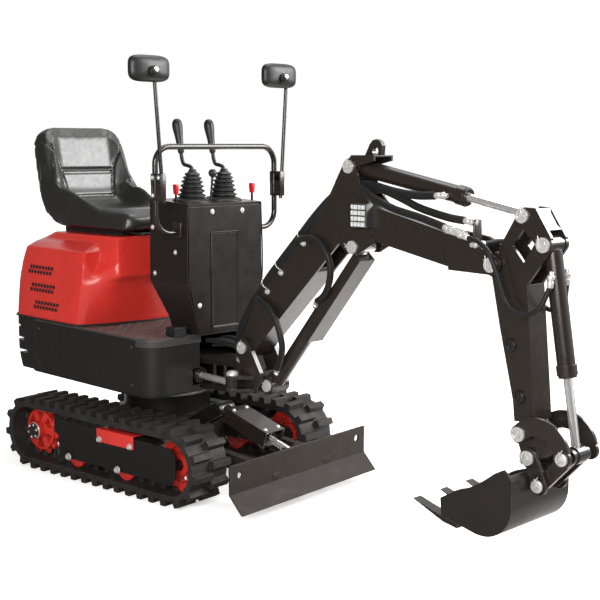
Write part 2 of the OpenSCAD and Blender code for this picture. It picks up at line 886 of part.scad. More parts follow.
module swing_bracket() {
    z0 = nose_low_z + 18 + 2;
    z1 = nose_top_z - 20 - 2;
    color(paint)
        difference() {
            union() {
                translate([king_x, 0, z0])
                    cylinder(r = 46, h = z1 - z0);
                translate([king_x, -42, z0 + 1])
                    cube([130, 84, z1 - z0 - 2]);
                plates(boom_half + ear_gap, boom_half + ear_gap + 20) {
                    link_2d(boom_foot, 42, [668, 520], 48);
                    translate([620, z0])
                        square([70, z1 - z0]);
                }
                translate([640, -boom_half - 20, z0])
                    cube([42, boom_w + 40, z1 - z0]);
                plates(clevis_in, clevis_out)
                    link_2d(boom_cyl_base, 34, [660, 500], 36);
                for (z = [swing_z - 33.5, swing_z + 20.5])
                    translate([0, 0, z])
                        linear_extrude(13)
                            link_2d(swing_eye, 30, [660, -40], 34);
            }
            translate([king_x, 0, 400])
                cylinder(r = 24 + fit, h = 300);
            cross_pin(boom_foot, pin_r + fit, -200, 200);
            cross_pin(boom_cyl_base, pin_r + fit, -200, 200);
        }
}

module bracket_pins() {
    color(steel) {
        headed_pin(boom_foot, pin_r, boom_half + ear_gap + 28 + fit);
        headed_pin(boom_cyl_base, pin_r, clevis_out + 8 + fit);
        translate([king_x, 0, nose_low_z - 2])
            cylinder(r = 24, h = nose_top_z - nose_low_z + 2);
        translate([king_x, 0, nose_top_z + slip])
            cylinder(r = 34, h = 12);
    }
}

module swing_cyl_barrel() {
    color(paint)
        translate([swing_base[0], swing_base[1], swing_z])
            rotate([0, 0, angle_of(swing_base, swing_eye)])
                rotate([90, 0, 0])
                    barrel(310, 30, rod_r, 30, 24, 15);
}

module swing_cyl_rod() {
    color(steel)
        translate([swing_base[0], swing_base[1], swing_z])
            rotate([0, 0, angle_of(swing_base, swing_eye)])
                rotate([90, 0, 0])
                    rod(180, norm(swing_eye - swing_base), rod_r, 26, 20);
}

module boom() {
    side_t = 10;
    horn_in = boom_half - side_t;
    color(paint)
        difference() {
            union() {
                difference() {
                    plate(-boom_half, boom_half)
                        polygon(boom_box);
                    plate(-horn_in, horn_in)
                        difference() {
                            polygon(shrink(boom_box, wall_t));
                            translate(boom_foot)
                                circle(110);
                        }
                }
                cross_pin(boom_foot, 43.8, -boom_half, boom_half);
                plates(horn_in, boom_half) {
                    polygon(boom_horn);
                    translate(arm_cyl_base)
                        circle(29);
                }
                plates(boom_half - 1, boom_half + 10)
                    polygon([boom_cyl_eye + [-70, 8], boom_cyl_eye + [-24, -26], boom_cyl_eye + [26, -26],
                        boom_cyl_eye + [90, 10], boom_cyl_eye + [90, 70], boom_cyl_eye + [-30, 70]]);
                plates(boom_half - 1, boom_half + 14) {
                    polygon([arm_pivot + [-202, 97], arm_pivot + [-178, -30], arm_pivot + [-2, -33.7],
                        arm_pivot + [26, 21], arm_pivot + [-103, 83]]);
                    translate(arm_pivot)
                        circle(33.9);
                }
                translate([arm_cyl_base[0] + 8, -boom_half + 2, arm_cyl_base[1] + 36.5])
                    cube([lift_eye[0] - arm_cyl_base[0] + 24, boom_w - 4, 6]);
                plates(horn_in, boom_half - 2)
                    polygon([arm_cyl_base + [-10, 20], arm_cyl_base + [30, 0],
                        [lift_eye[0] + 32, arm_cyl_base[1] + 22], [lift_eye[0] + 32, arm_cyl_base[1] + 41],
                        arm_cyl_base + [8, 41]]);
            }
            plate(-horn_in, horn_in)
                link_2d(boom_cyl_eye, 98, along(boom_cyl_eye, boom_cyl_base, 0.22), 94);
            cross_pin(boom_foot, pin_r + fit, -200, 200);
            cross_pin(arm_pivot, pin_r + fit, -200, 200);
            cross_pin(arm_cyl_base, pin_r + fit, -200, 200);
        }
}

module lifting_eye() {
    seat_z = arm_cyl_base[1] + 42.5 + fit / 2;
    color(paint)
        plate(-10, 10)
            difference() {
                polygon([[lift_eye[0] - 50, seat_z], [lift_eye[0] + 30, seat_z], lift_eye + [33, 20],
                    lift_eye + [22, 36], lift_eye + [4, 43], lift_eye + [-14, 39], lift_eye + [-28, 24]]);
                translate(lift_eye)
                    circle(eye_hole_r);
            }
}

module boom_pins() {
    color(steel) {
        headed_pin(arm_pivot, pin_r, boom_half + 22 + fit);
        headed_pin(arm_cyl_base, pin_r, boom_half + 8 + fit);
        plates(boom_half + 10 + fit, boom_half + 18)
            translate(boom_cyl_eye)
                circle(24);
    }
}

module work_lamp() {
    color(steel)
        translate([1224, -boom_half - 34.1, 1166])
            cube([76, 34, 88]);
}

module boom_cyl_barrel() {
    color(paint)
        aim(boom_cyl_base, boom_cyl_eye)
            barrel(480, barrel_r, rod_r, 34, barrel_r, pin_r);
}

module boom_cyl_rod() {
    color(steel)
        aim(boom_cyl_base, boom_cyl_eye)
            rod(300, norm(boom_cyl_eye - boom_cyl_base), rod_r, 26, 40);
}

module rod_guard() {
    reach = norm(boom_cyl_eye - boom_cyl_base);
    color(paint)
        aim(boom_cyl_base, boom_cyl_eye) {
            translate([reach - 470, -43, -48])
                cube([440, 86, 5]);
            for (y = [-43, 38])
                translate([reach - 470, y, -48])
                    cube([440, 5, 44]);
            translate([reach - 60, -43, -48])
                cube([30, 86, 48 - rod_r - fit]);
        }
}

module arm() {
    head_in = arm_half - 14;
    color(paint)
        difference() {
            union() {
                difference() {
                    plate(-arm_half, arm_half)
                        polygon(arm_box);
                    plate(-arm_half + wall_t, arm_half - wall_t)
                        difference() {
                            polygon(shrink(arm_box, wall_t));
                            translate(rocker_pin)
                                circle(60);
                        }
                }
                cross_pin(arm_pivot, 42, -arm_half, arm_half);
                plate(-arm_half, arm_half)
                    link_2d(rocker_pin, 40, bucket_pivot, 30);
                plates(head_in, arm_half) {
                    difference() {
                        polygon(arm_head);
                        polygon([arm_pivot + [72, 66], arm_pivot + [112, 124], bucket_cyl_base + [-34, 2],
                            arm_pivot + [118, 14]]);
                    }
                    translate(bucket_cyl_base)
                        circle(32);
                }
            }
            cross_pin(arm_pivot, pin_r + fit, -200, 200);
            cross_pin(bucket_cyl_base, pin_r + fit, -200, 200);
            cross_pin(rocker_pin, pin_r + fit, -200, 200);
            cross_pin(bucket_pivot, pin_r + fit, -200, 200);
        }
}

module arm_pins() {
    color(steel) {
        headed_pin(bucket_cyl_base, pin_r, arm_half + 8 + fit);
        headed_pin(rocker_pin, pin_r, arm_half + 46 + fit);
        headed_pin(bucket_pivot, pin_r, arm_half + ear_gap + 22 + fit);
        plates(arm_half + fit, arm_half + 8)
            translate(arm_cyl_eye)
                circle(24);
    }
}

module arm_cyl_barrel() {
    color(paint)
        aim(arm_cyl_base, arm_cyl_eye)
            barrel(524, barrel_r, rod_r, 29, boom_half - 11, pin_r);
}

module arm_cyl_rod() {
    color(steel)
        aim(arm_cyl_base, arm_cyl_eye)
            rod(320, norm(arm_cyl_eye - arm_cyl_base), rod_r, 26, 30);
}

module bucket_cyl_barrel() {
    color(paint)
        aim(bucket_cyl_base, rocker_eye)
            barrel(437, barrel_r - 1, rod_r, 29, arm_half - 16, pin_r);
}

module bucket_cyl_rod() {
    color(steel)
        aim(bucket_cyl_base, rocker_eye)
            rod(270, norm(rocker_eye - bucket_cyl_base), rod_r, 26, 26);
}

module rocker() {
    bow = along(rocker_pin, rocker_eye, 0.5) + [-11, -33];
    bow_r = norm(rocker_pin - bow);
    web = 30;
    color(paint)
        difference() {
            plates(arm_half + 26, arm_half + 38) {
                intersection() {
                    difference() {
                        translate(bow)
                            circle(bow_r + web);
                        translate(bow)
                            circle(bow_r - web);
                    }
                    polygon([bow, rocker_eye, polar(bow, 240, 30), polar(bow, 240, 90),
                        polar(bow, 240, 130), rocker_pin]);
                }
                translate(rocker_pin)
                    circle(web + 1);
                translate(rocker_eye)
                    circle(web + 1);
            }
            cross_pin(rocker_pin, pin_r + fit, -200, 200);
        }
}

module bucket_link() {
    color(paint)
        difference() {
            plates(29, 47)
                link_2d(rocker_eye, 25, bucket_lug, 23);
            cross_pin(bucket_lug, 14 + fit, -60, 60);
        }
}

// What lies under the bucket's open rim, which dips in the middle.
bucket_rim = [for (p = [[-404, -340], [196, -340], [196, 60], [14, -60], [-2, -36], [-20, -25], [-46, -36],
    [-74, -58], [-114, -88], [-158, -113], [-204, -130], [-244, -150], [-279, -174], [-404, -240]])
    bucket_pivot + p];

// Side outline of the bucket's skin, from the cutting edge round the back to the top.
module bucket_2d(inset) {
    mid = bucket_pivot + [-104, -150];
    lip = bucket_pivot + [-274, -235];
    r = 118 - inset;
    translate(mid)
        circle(r);
    polygon([lip + [0, inset], mid + [-18, -r], mid + [r, 0], mid + [r, 90], bucket_pivot + [0, -36],
        bucket_pivot + [-20, -24], bucket_pivot + [-279, -174]]);
}

module bucket() {
    color(grey)
        difference() {
            union() {
                intersection() {
                    plate(-bucket_w / 2, bucket_w / 2)
                        bucket_2d(0);
                    plate(-bucket_w / 2, bucket_w / 2)
                        polygon(bucket_rim);
                }
                plates(arm_half + ear_gap, arm_half + ear_gap + 14) {
                    link_2d(bucket_pivot, 32, bucket_lug, 32);
                    polygon([bucket_pivot, bucket_lug, bucket_lug + [-60, -40], bucket_pivot + [-50, -50]]);
                }
                cross_pin(bucket_lug, 14, -arm_half - 20, arm_half + 20);
            }
            plate(-bucket_w / 2 + bucket_t, bucket_w / 2 - bucket_t)
                difference() {
                    union() {
                        bucket_2d(bucket_t);
                        polygon([bucket_pivot + [-304, -200], bucket_pivot + [-39, -10],
                            bucket_pivot + [-104, 60], bucket_pivot + [-304, -40]]);
                    }
                    translate(bucket_pivot + [6, -140])
                        square([60, 200]);
                }
            cross_pin(bucket_pivot, pin_r + fit, -200, 200);
        }
}

module bucket_teeth() {
    tooth = [[-400, -202], [-276, -235.1], [-204, -250.6], [-204, -266], [-264, -256]];
    color(steel)
        for (side = [-1 : 1])
            translate([0, side * (bucket_w / 2 - 20), 0])
                plate(-22, 22)
                    polygon([for (p = tooth) bucket_pivot + p]);
}

chassis();
slew_bearing();
track_frames();
track_left();
track_right();
sprockets();
idlers();
rollers();
travel_motors();
blade();
blade_cyl_barrel();
blade_cyl_rod();
deck();
counterweight();
skirt();
footboard();
hood();
engine();
seat_base();
seat_cushion();
seat_back();
console();
console_panel();
lever_boots();
levers();
pedals();
handrail();
mirror_poles();
mirrors();
swing_bracket();
bracket_pins();
swing_cyl_barrel();
swing_cyl_rod();
boom();
boom_pins();
work_lamp();
lifting_eye();
boom_cyl_barrel();
boom_cyl_rod();
rod_guard();
arm();
arm_pins();
arm_cyl_barrel();
arm_cyl_rod();
bucket_cyl_barrel();
bucket_cyl_rod();
rocker();
bucket_link();
bucket();
bucket_teeth();
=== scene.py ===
import bpy
import json
import math
from mathutils import Matrix, Vector
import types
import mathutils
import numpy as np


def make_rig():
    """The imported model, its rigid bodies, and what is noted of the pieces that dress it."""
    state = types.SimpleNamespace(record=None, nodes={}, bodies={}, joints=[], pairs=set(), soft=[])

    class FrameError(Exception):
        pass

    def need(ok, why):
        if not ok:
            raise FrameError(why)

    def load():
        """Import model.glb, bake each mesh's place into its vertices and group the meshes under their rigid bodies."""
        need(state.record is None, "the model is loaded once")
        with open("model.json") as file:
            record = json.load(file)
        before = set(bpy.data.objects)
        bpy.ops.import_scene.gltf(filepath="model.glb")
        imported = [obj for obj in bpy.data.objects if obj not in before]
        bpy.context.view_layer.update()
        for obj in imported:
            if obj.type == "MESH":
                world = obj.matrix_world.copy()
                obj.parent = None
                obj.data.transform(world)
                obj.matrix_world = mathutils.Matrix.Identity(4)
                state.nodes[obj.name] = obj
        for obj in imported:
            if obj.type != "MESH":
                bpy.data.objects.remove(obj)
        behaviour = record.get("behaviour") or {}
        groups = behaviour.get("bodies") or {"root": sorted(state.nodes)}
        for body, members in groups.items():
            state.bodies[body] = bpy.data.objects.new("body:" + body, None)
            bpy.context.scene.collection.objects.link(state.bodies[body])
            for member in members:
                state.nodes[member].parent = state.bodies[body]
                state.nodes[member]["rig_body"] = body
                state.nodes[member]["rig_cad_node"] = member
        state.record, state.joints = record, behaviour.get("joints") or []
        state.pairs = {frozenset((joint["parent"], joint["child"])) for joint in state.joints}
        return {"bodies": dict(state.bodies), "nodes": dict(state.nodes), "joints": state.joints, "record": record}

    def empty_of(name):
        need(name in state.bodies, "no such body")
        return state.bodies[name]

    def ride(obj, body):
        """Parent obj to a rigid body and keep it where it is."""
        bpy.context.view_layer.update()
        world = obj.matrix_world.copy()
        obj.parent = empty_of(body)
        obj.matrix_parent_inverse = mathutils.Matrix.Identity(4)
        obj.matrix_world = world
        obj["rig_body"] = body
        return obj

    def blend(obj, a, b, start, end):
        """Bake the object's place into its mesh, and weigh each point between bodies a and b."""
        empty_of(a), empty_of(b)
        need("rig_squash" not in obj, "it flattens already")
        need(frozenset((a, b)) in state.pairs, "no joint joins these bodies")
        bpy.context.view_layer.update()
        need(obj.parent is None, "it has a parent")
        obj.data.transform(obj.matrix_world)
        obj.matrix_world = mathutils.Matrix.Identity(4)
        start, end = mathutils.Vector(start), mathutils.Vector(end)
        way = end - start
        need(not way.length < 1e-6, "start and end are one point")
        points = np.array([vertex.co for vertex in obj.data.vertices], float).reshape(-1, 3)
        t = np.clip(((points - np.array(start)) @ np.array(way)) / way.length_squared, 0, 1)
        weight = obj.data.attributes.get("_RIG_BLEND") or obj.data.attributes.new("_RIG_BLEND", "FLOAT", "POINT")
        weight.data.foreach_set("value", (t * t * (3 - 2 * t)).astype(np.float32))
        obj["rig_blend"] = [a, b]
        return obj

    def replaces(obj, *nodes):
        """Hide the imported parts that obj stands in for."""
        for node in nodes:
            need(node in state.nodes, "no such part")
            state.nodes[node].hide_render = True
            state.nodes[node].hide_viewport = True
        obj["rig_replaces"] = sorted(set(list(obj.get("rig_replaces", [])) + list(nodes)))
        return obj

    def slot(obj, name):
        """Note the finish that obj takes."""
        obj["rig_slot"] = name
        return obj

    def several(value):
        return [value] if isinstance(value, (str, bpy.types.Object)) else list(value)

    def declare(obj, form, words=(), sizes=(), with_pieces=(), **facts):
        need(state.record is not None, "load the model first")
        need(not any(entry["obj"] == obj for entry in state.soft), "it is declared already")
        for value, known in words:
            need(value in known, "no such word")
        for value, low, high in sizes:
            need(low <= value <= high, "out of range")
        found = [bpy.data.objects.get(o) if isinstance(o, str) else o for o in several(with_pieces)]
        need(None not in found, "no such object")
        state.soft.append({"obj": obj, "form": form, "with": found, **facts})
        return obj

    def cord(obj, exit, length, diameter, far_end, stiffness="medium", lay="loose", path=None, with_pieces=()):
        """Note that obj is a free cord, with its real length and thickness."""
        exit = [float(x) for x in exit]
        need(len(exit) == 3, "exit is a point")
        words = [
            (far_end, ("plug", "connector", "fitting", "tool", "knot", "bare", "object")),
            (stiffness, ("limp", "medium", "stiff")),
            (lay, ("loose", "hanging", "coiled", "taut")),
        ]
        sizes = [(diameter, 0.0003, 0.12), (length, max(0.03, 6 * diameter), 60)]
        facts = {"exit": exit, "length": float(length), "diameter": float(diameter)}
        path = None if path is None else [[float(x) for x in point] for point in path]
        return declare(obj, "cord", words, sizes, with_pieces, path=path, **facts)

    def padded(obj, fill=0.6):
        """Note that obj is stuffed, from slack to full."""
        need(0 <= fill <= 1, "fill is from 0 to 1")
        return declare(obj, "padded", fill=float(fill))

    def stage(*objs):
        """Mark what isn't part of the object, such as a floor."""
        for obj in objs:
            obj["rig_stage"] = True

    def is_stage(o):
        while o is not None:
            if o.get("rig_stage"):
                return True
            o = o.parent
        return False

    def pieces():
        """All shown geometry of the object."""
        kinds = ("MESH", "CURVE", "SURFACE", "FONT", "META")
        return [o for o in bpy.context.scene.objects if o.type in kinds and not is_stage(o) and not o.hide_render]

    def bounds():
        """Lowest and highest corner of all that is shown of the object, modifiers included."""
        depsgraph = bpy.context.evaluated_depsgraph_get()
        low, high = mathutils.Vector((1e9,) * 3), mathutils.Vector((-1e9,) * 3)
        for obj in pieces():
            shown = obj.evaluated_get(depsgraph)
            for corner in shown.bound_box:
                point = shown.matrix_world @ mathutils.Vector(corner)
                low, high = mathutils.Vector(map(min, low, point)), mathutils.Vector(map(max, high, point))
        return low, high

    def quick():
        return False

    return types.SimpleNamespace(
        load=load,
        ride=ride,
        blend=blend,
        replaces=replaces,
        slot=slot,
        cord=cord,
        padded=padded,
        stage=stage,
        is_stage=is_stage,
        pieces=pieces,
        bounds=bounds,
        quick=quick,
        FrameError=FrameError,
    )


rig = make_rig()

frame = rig.load()
cad_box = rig.bounds()

# Undercarriage: a welded centre frame and two track frames of thick plate, shot-blasted and
# sprayed in a dark grey two-pack paint. Edges and upper faces carry a little dust and rubbed metal.
mm = 0.001
sides = (-1, 1)
track_turn = 5.3
under_house = Matrix.Rotation(math.radians(track_turn), 4, "Z")


def at(x, y, z):
    return Vector((x, y, z)) * mm


def wire(tree, kind, sockets=None, **settings):
    made = tree.nodes.new(kind)
    for key, value in settings.items():
        setattr(made, key, value)
    for key, value in (sockets or {}).items():
        if isinstance(value, bpy.types.NodeSocket):
            tree.links.new(value, made.inputs[key])
        else:
            made.inputs[key].default_value = value
    return made


def new_finish(name, **sockets):
    finish = bpy.data.materials.new(name)
    finish.use_nodes = True
    tree = finish.node_tree
    shader = tree.nodes["Principled BSDF"]
    for key, value in sockets.items():
        shader.inputs[key.replace("_", " ")].default_value = value
    place = wire(tree, "ShaderNodeTexCoord").outputs["Object"]
    return finish, tree, shader, place


def noise(tree, place, scale, detail):
    return wire(tree, "ShaderNodeTexNoise",
                {"Vector": place, "Scale": scale, "Detail": detail}).outputs["Fac"]


def ramped(tree, value, start, stop, low, high):
    return wire(tree, "ShaderNodeMapRange", {0: value, 1: start, 2: stop, 3: low, 4: high}).outputs[0]


def mixed(tree, amount, first, second):
    return wire(tree, "ShaderNodeMix", {0: amount, 6: first, 7: second}, data_type="RGBA").outputs[2]


def reckoned(tree, operation, first, second):
    return wire(tree, "ShaderNodeMath", {0: first, 1: second}, operation=operation).outputs[0]


def soft_edges(tree, radius):
    """A normal that rounds the edges of a plate."""
    return wire(tree, "ShaderNodeBevel", {"Radius": radius}, samples=4).outputs["Normal"]


def worn_edges(tree, place, radius, low, high):
    """Rounded normal for the edges of a plate, and a broken mask that is 1 where the edge is rubbed."""
    soft = soft_edges(tree, radius)
    flat = wire(tree, "ShaderNodeNewGeometry").outputs["Normal"]
    same = wire(tree, "ShaderNodeVectorMath", {0: soft, 1: flat}, operation="DOT_PRODUCT").outputs["Value"]
    edge = ramped(tree, same, 1.0, 0.72, 0.0, 1.0)
    both = reckoned(tree, "MULTIPLY", edge, noise(tree, place, 55.0, 6.0))
    return soft, ramped(tree, both, low, high, 0.0, 1.0)


def grained(tree, shader, place, scale, strength, depth, normal):
    bump = wire(tree, "ShaderNodeBump", {"Strength": strength, "Distance": depth, "Normal": normal,
                                         "Height": noise(tree, place, scale, 2.0)})
    tree.links.new(bump.outputs["Normal"], shader.inputs["Normal"])


def sprayed_paint(name, colour, gloss, bare, dust, coat=0.2, shine=0.35, low=0.3, high=0.5, peel=0.12):
    """A cloudy paint film with dust on upper faces; its edges rub through to the bare colour."""
    finish, tree, shader, place = new_finish(name, Coat_Weight=coat, Coat_Roughness=0.1,
                                             Specular_IOR_Level=shine)
    soft, rubbed = worn_edges(tree, place, 0.0025, low, high)
    darker = [c * 0.82 for c in colour] + [1.0]
    lighter = [min(1.0, c * 1.12) for c in colour] + [1.0]
    dry_dust = (0.33, 0.30, 0.26, 1.0)
    base = mixed(tree, noise(tree, place, 4.0, 5.0), darker, lighter)
    normal = wire(tree, "ShaderNodeNewGeometry").outputs["Normal"]
    upward = wire(tree, "ShaderNodeSeparateXYZ", {0: normal}).outputs["Z"]
    film = noise(tree, place, 17.0, 8.0)
    settled = reckoned(tree, "MULTIPLY", upward, film)
    base = mixed(tree, ramped(tree, settled, 0.3, 0.8, 0.0, dust), base, dry_dust)
    base = mixed(tree, rubbed, base, list(bare) + [1.0])
    tree.links.new(base, shader.inputs["Base Color"])
    tree.links.new(ramped(tree, film, 0.3, 0.75, gloss * 0.85, gloss * 1.2), shader.inputs["Roughness"])
    grained(tree, shader, place, 320.0, peel, 0.0006, soft)
    return finish


def dress(finish, *names):
    for name in names:
        slots = frame["nodes"][name].data.materials
        slots.clear()
        slots.append(finish)


frame_grey = sprayed_paint("frame_grey_paint", (0.008, 0.007, 0.006), 0.4, (0.09, 0.08, 0.07),
                           0.06, 0.05, 0.28)
dress(frame_grey, "chassis", "track_frames", "travel_motors", "deck")

# Tension bracket: a red pressed plate folded over the top edge of each track frame's side plate,
# held by two hex bolts. The bottom rollers' axle ends show as bolts along the plate's lower edge.
machine_red = sprayed_paint("machine_red_paint", (0.50, 0.026, 0.018), 0.28, (0.36, 0.06, 0.045), 0.02,
                            0.16, 0.36, 0.5, 0.7, 0.06)


def fresh(kind, name, **size):
    """Adds one primitive by itself, with everything else deselected."""
    if bpy.context.object and bpy.context.object.mode != "OBJECT":
        bpy.ops.object.mode_set(mode="OBJECT")
    bpy.ops.object.select_all(action="DESELECT")
    getattr(bpy.ops.mesh, "primitive_" + kind + "_add")(**size)
    bpy.context.object.name = name
    return bpy.context.object


def block(name, low, high):
    """A box from corner to corner in millimetres, ready to be shaped."""
    piece = fresh("cube", name, size=1.0, location=(at(*low) + at(*high)) / 2)
    piece.scale = at(*high) - at(*low)
    bpy.ops.object.transform_apply(location=True, rotation=True, scale=True)
    return piece


def choose(piece, test):
    """Opens a piece in edit mode with the faces selected whose middle and normal pass the test."""
    bpy.context.view_layer.objects.active = piece
    bpy.ops.object.mode_set(mode="EDIT")
    bpy.ops.mesh.select_mode(type="FACE")
    bpy.ops.mesh.select_all(action="DESELECT")
    bpy.ops.object.mode_set(mode="OBJECT")
    for face in piece.data.polygons:
        face.select = test(face.center / mm, face.normal)
    bpy.ops.object.mode_set(mode="EDIT")


def applied(piece, kind, **settings):
    bpy.context.view_layer.objects.active = piece
    bpy.ops.object.mode_set(mode="OBJECT")
    step = piece.modifiers.new(kind.lower(), kind)
    for key, value in settings.items():
        setattr(step, key, value)
    bpy.ops.object.modifier_apply(modifier=step.name)


def softened(piece, width, segments=2, angle=30):
    applied(piece, "BEVEL", width=width * mm, segments=segments, limit_method="ANGLE",
            angle_limit=math.radians(angle))


def joined(name, *parts):
    bpy.ops.object.select_all(action="DESELECT")
    for part in parts:
        part.select_set(True)
    bpy.context.view_layer.objects.active = parts[0]
    bpy.ops.object.join()
    parts[0].name = name
    return parts[0]


def set_out(pattern, places, name):
    """Copies a modelled piece to each place, each copy with its own mesh, and joins the copies."""
    copies = []
    for place in places:
        copy = pattern.copy()
        copy.data = pattern.data.copy()
        copy.matrix_world = place
        bpy.context.scene.collection.objects.link(copy)
        copies.append(copy)
    bpy.data.objects.remove(pattern)
    return joined(name, *copies)


def facing(point, way):
    """The place of a piece that stands on a point with its own Z along the way given."""
    return Matrix.Translation(point) @ Vector(way).to_track_quat("Z", "Y").to_matrix().to_4x4()


def fitted(piece, body, finish, slot, *stands_for):
    """Finishes a piece: shading, finish, the body it rides on and the nodes it stands for."""
    if bpy.context.object and bpy.context.object.mode != "OBJECT":
        bpy.ops.object.mode_set(mode="OBJECT")
    bpy.ops.object.select_all(action="DESELECT")
    piece.select_set(True)
    bpy.context.view_layer.objects.active = piece
    bpy.ops.object.transform_apply(location=True, rotation=True, scale=True)
    bpy.ops.object.shade_smooth_by_angle(angle=math.radians(38))
    piece.data.materials.clear()
    piece.data.materials.append(finish)
    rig.slot(piece, slot)
    if stands_for:
        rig.replaces(piece, *stands_for)
    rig.ride(piece, body)


def grow(name, radius, steps, around=32):
    """A turned piece: a disc drawn up and scaled step by step, to each radius and height in millimetres."""
    piece = fresh("circle", name, vertices=around, radius=radius * mm, fill_type="NGON")
    bpy.ops.object.mode_set(mode="EDIT")
    bpy.ops.mesh.select_all(action="SELECT")
    level = 0.0
    for wide, high in steps:
        bpy.ops.mesh.extrude_region_move(TRANSFORM_OT_translate={"value": (0, 0, (high - level) * mm)})
        bpy.ops.transform.resize(value=(wide / radius, wide / radius, 1), center_override=(0, 0, high * mm))
        radius, level = wide, high
    bpy.ops.mesh.select_all(action="SELECT")
    bpy.ops.mesh.normals_make_consistent(inside=False)
    bpy.ops.object.mode_set(mode="OBJECT")
    return piece


def hex_bolt(across):
    rim, head_radius = across * 0.72, across * 0.56
    washer = grow("washer", rim, [(rim, 1.6), (across * 0.66, 2.2)], 20)
    head = grow("hex_head", head_radius, [(head_radius, across * 0.52), (across * 0.46, across * 0.6)], 6)
    return joined("hex_bolt", washer, head)


def dome_bolt(radius):
    rim, rim_top = radius * 1.35, 1.6
    dome = [(radius * part, radius * rise + rim_top)
            for part, rise in ((1, 0), (0.94, 0.35), (0.7, 0.65), (0.3, 0.8))]
    return grow("dome_bolt", rim, [(rim, 1.5)] + dome, 20)


plate_face = 434.2
for side in sides:
    bracket = block("tension_bracket", (22, plate_face - 74, 204), (256, plate_face + 7, 262))
    choose(bracket, lambda middle, normal: normal.y < 0.5 and normal.z < 0.5)
    bpy.ops.mesh.delete(type="FACE")
    applied(bracket, "SOLIDIFY", thickness=6 * mm, offset=-1.0)
    softened(bracket, 3.0, 3)
    bracket.matrix_world = under_house @ Matrix.Scale(side, 4, (0, 1, 0))
    fitted(bracket, "undercarriage", machine_red, "red_paint")
    bpy.ops.object.mode_set(mode="EDIT")
    bpy.ops.mesh.select_all(action="SELECT")
    bpy.ops.mesh.normals_make_consistent(inside=False)
    bpy.ops.object.mode_set(mode="OBJECT")


def plated_steel(name, colour, low, high, metal=1.0):
    finish, tree, shader, place = new_finish(name, Metallic=metal)
    soft = soft_edges(tree, 0.0015)
    smear = noise(tree, place, 70.0, 4.0)
    base = mixed(tree, smear, list(colour) + [1.0], [c * 0.78 for c in colour] + [1.0])
    tree.links.new(base, shader.inputs["Base Color"])
    tree.links.new(ramped(tree, smear, 0.3, 0.7, low, high), shader.inputs["Roughness"])
    tree.links.new(soft, shader.inputs["Normal"])
    return finish


zinced = plated_steel("zinc_plated", (0.72, 0.70, 0.67), 0.28, 0.42, 0.6)
bracket_bolts = [(42, plate_face + 7, 216), (236, plate_face + 7, 216)]
axle_bolts = [(-164, plate_face + 10, 104), (159, plate_face + 10, 104)]
for bolts, across, name in ((bracket_bolts, 19, "bracket_bolts"), (axle_bolts, 22, "roller_axle_bolts")):
    spots = [under_house @ facing(at(x, side * y, z), (0, side, 0)) for side in sides for x, y, z in bolts]
    fitted(set_out(hex_bolt(across), spots, name), "undercarriage", zinced, "bright_steel")

# Rubber tracks: one endless moulded belt a side with staggered block lugs, black rubber that has gone
# grey on the lug tops and keeps dry dust in the grooves. Two rows of guide horns stand on its inside.
def track_rubber(name):
    finish, tree, shader, place = new_finish(name, Specular_IOR_Level=0.3)
    soft, rubbed = worn_edges(tree, place, 0.004, 0.25, 0.6)
    grit = noise(tree, place, 26.0, 9.0)
    base = mixed(tree, grit, (0.008, 0.0075, 0.007, 1), (0.026, 0.023, 0.021, 1))
    base = mixed(tree, rubbed, base, (0.07, 0.063, 0.057, 1))
    tree.links.new(base, shader.inputs["Base Color"])
    tree.links.new(ramped(tree, grit, 0.3, 0.7, 0.5, 0.78), shader.inputs["Roughness"])
    grained(tree, shader, place, 420.0, 0.25, 0.0006, soft)
    return finish


belt_black = track_rubber("track_rubber")
dress(belt_black, "track_left", "track_right")

lug_rows, lug_pitch, track_middle = 37, 72, 340
belt_radius, belt_line, axle_gap, axle_height = 117, 128.5, 928.3, 165


def on_belt(way_round):
    """The place on the belt's inner face at a distance round the loop, with Z pointing inwards."""
    arc = math.pi * belt_line
    if way_round < axle_gap:
        return at(way_round - axle_gap / 2, 0, axle_height + belt_radius), (0, 0, -1)
    if way_round < axle_gap + arc:
        turn, hub = (way_round - axle_gap) / belt_line, axle_gap / 2
    elif way_round < 2 * axle_gap + arc:
        return at(axle_gap / 2 - (way_round - axle_gap - arc), 0, axle_height - belt_radius), (0, 0, 1)
    else:
        turn, hub = math.pi + (way_round - 2 * axle_gap - arc) / belt_line, -axle_gap / 2
    out = Vector((math.sin(turn), 0, math.cos(turn)))
    return at(hub, 0, axle_height) + out * belt_radius * mm, -out


horn_height, horn_offset = 20, 27
for side, name in zip(sides, ("guide_horns_right", "guide_horns_left")):
    horn = block("guide_horn", (-20, -7, -3), (20, 7, horn_height))
    choose(horn, lambda middle, normal: normal.z > 0.5)
    bpy.ops.transform.resize(value=(0.55, 0.5, 1), center_override=(0, 0, horn_height * mm))
    softened(horn, 2.5, 2)
    spots = []
    for row in range(lug_rows):
        point, inward = on_belt(row * lug_pitch)
        across = Vector((0, 1, 0))
        square = Matrix((across.cross(inward), across, inward)).transposed().to_4x4()
        for offset in (-horn_offset, horn_offset):
            stand = Matrix.Translation(point + at(0, side * track_middle + offset, 0))
            spots.append(under_house @ stand @ square)
    fitted(set_out(horn, spots, name), "undercarriage", belt_black, "rubber")

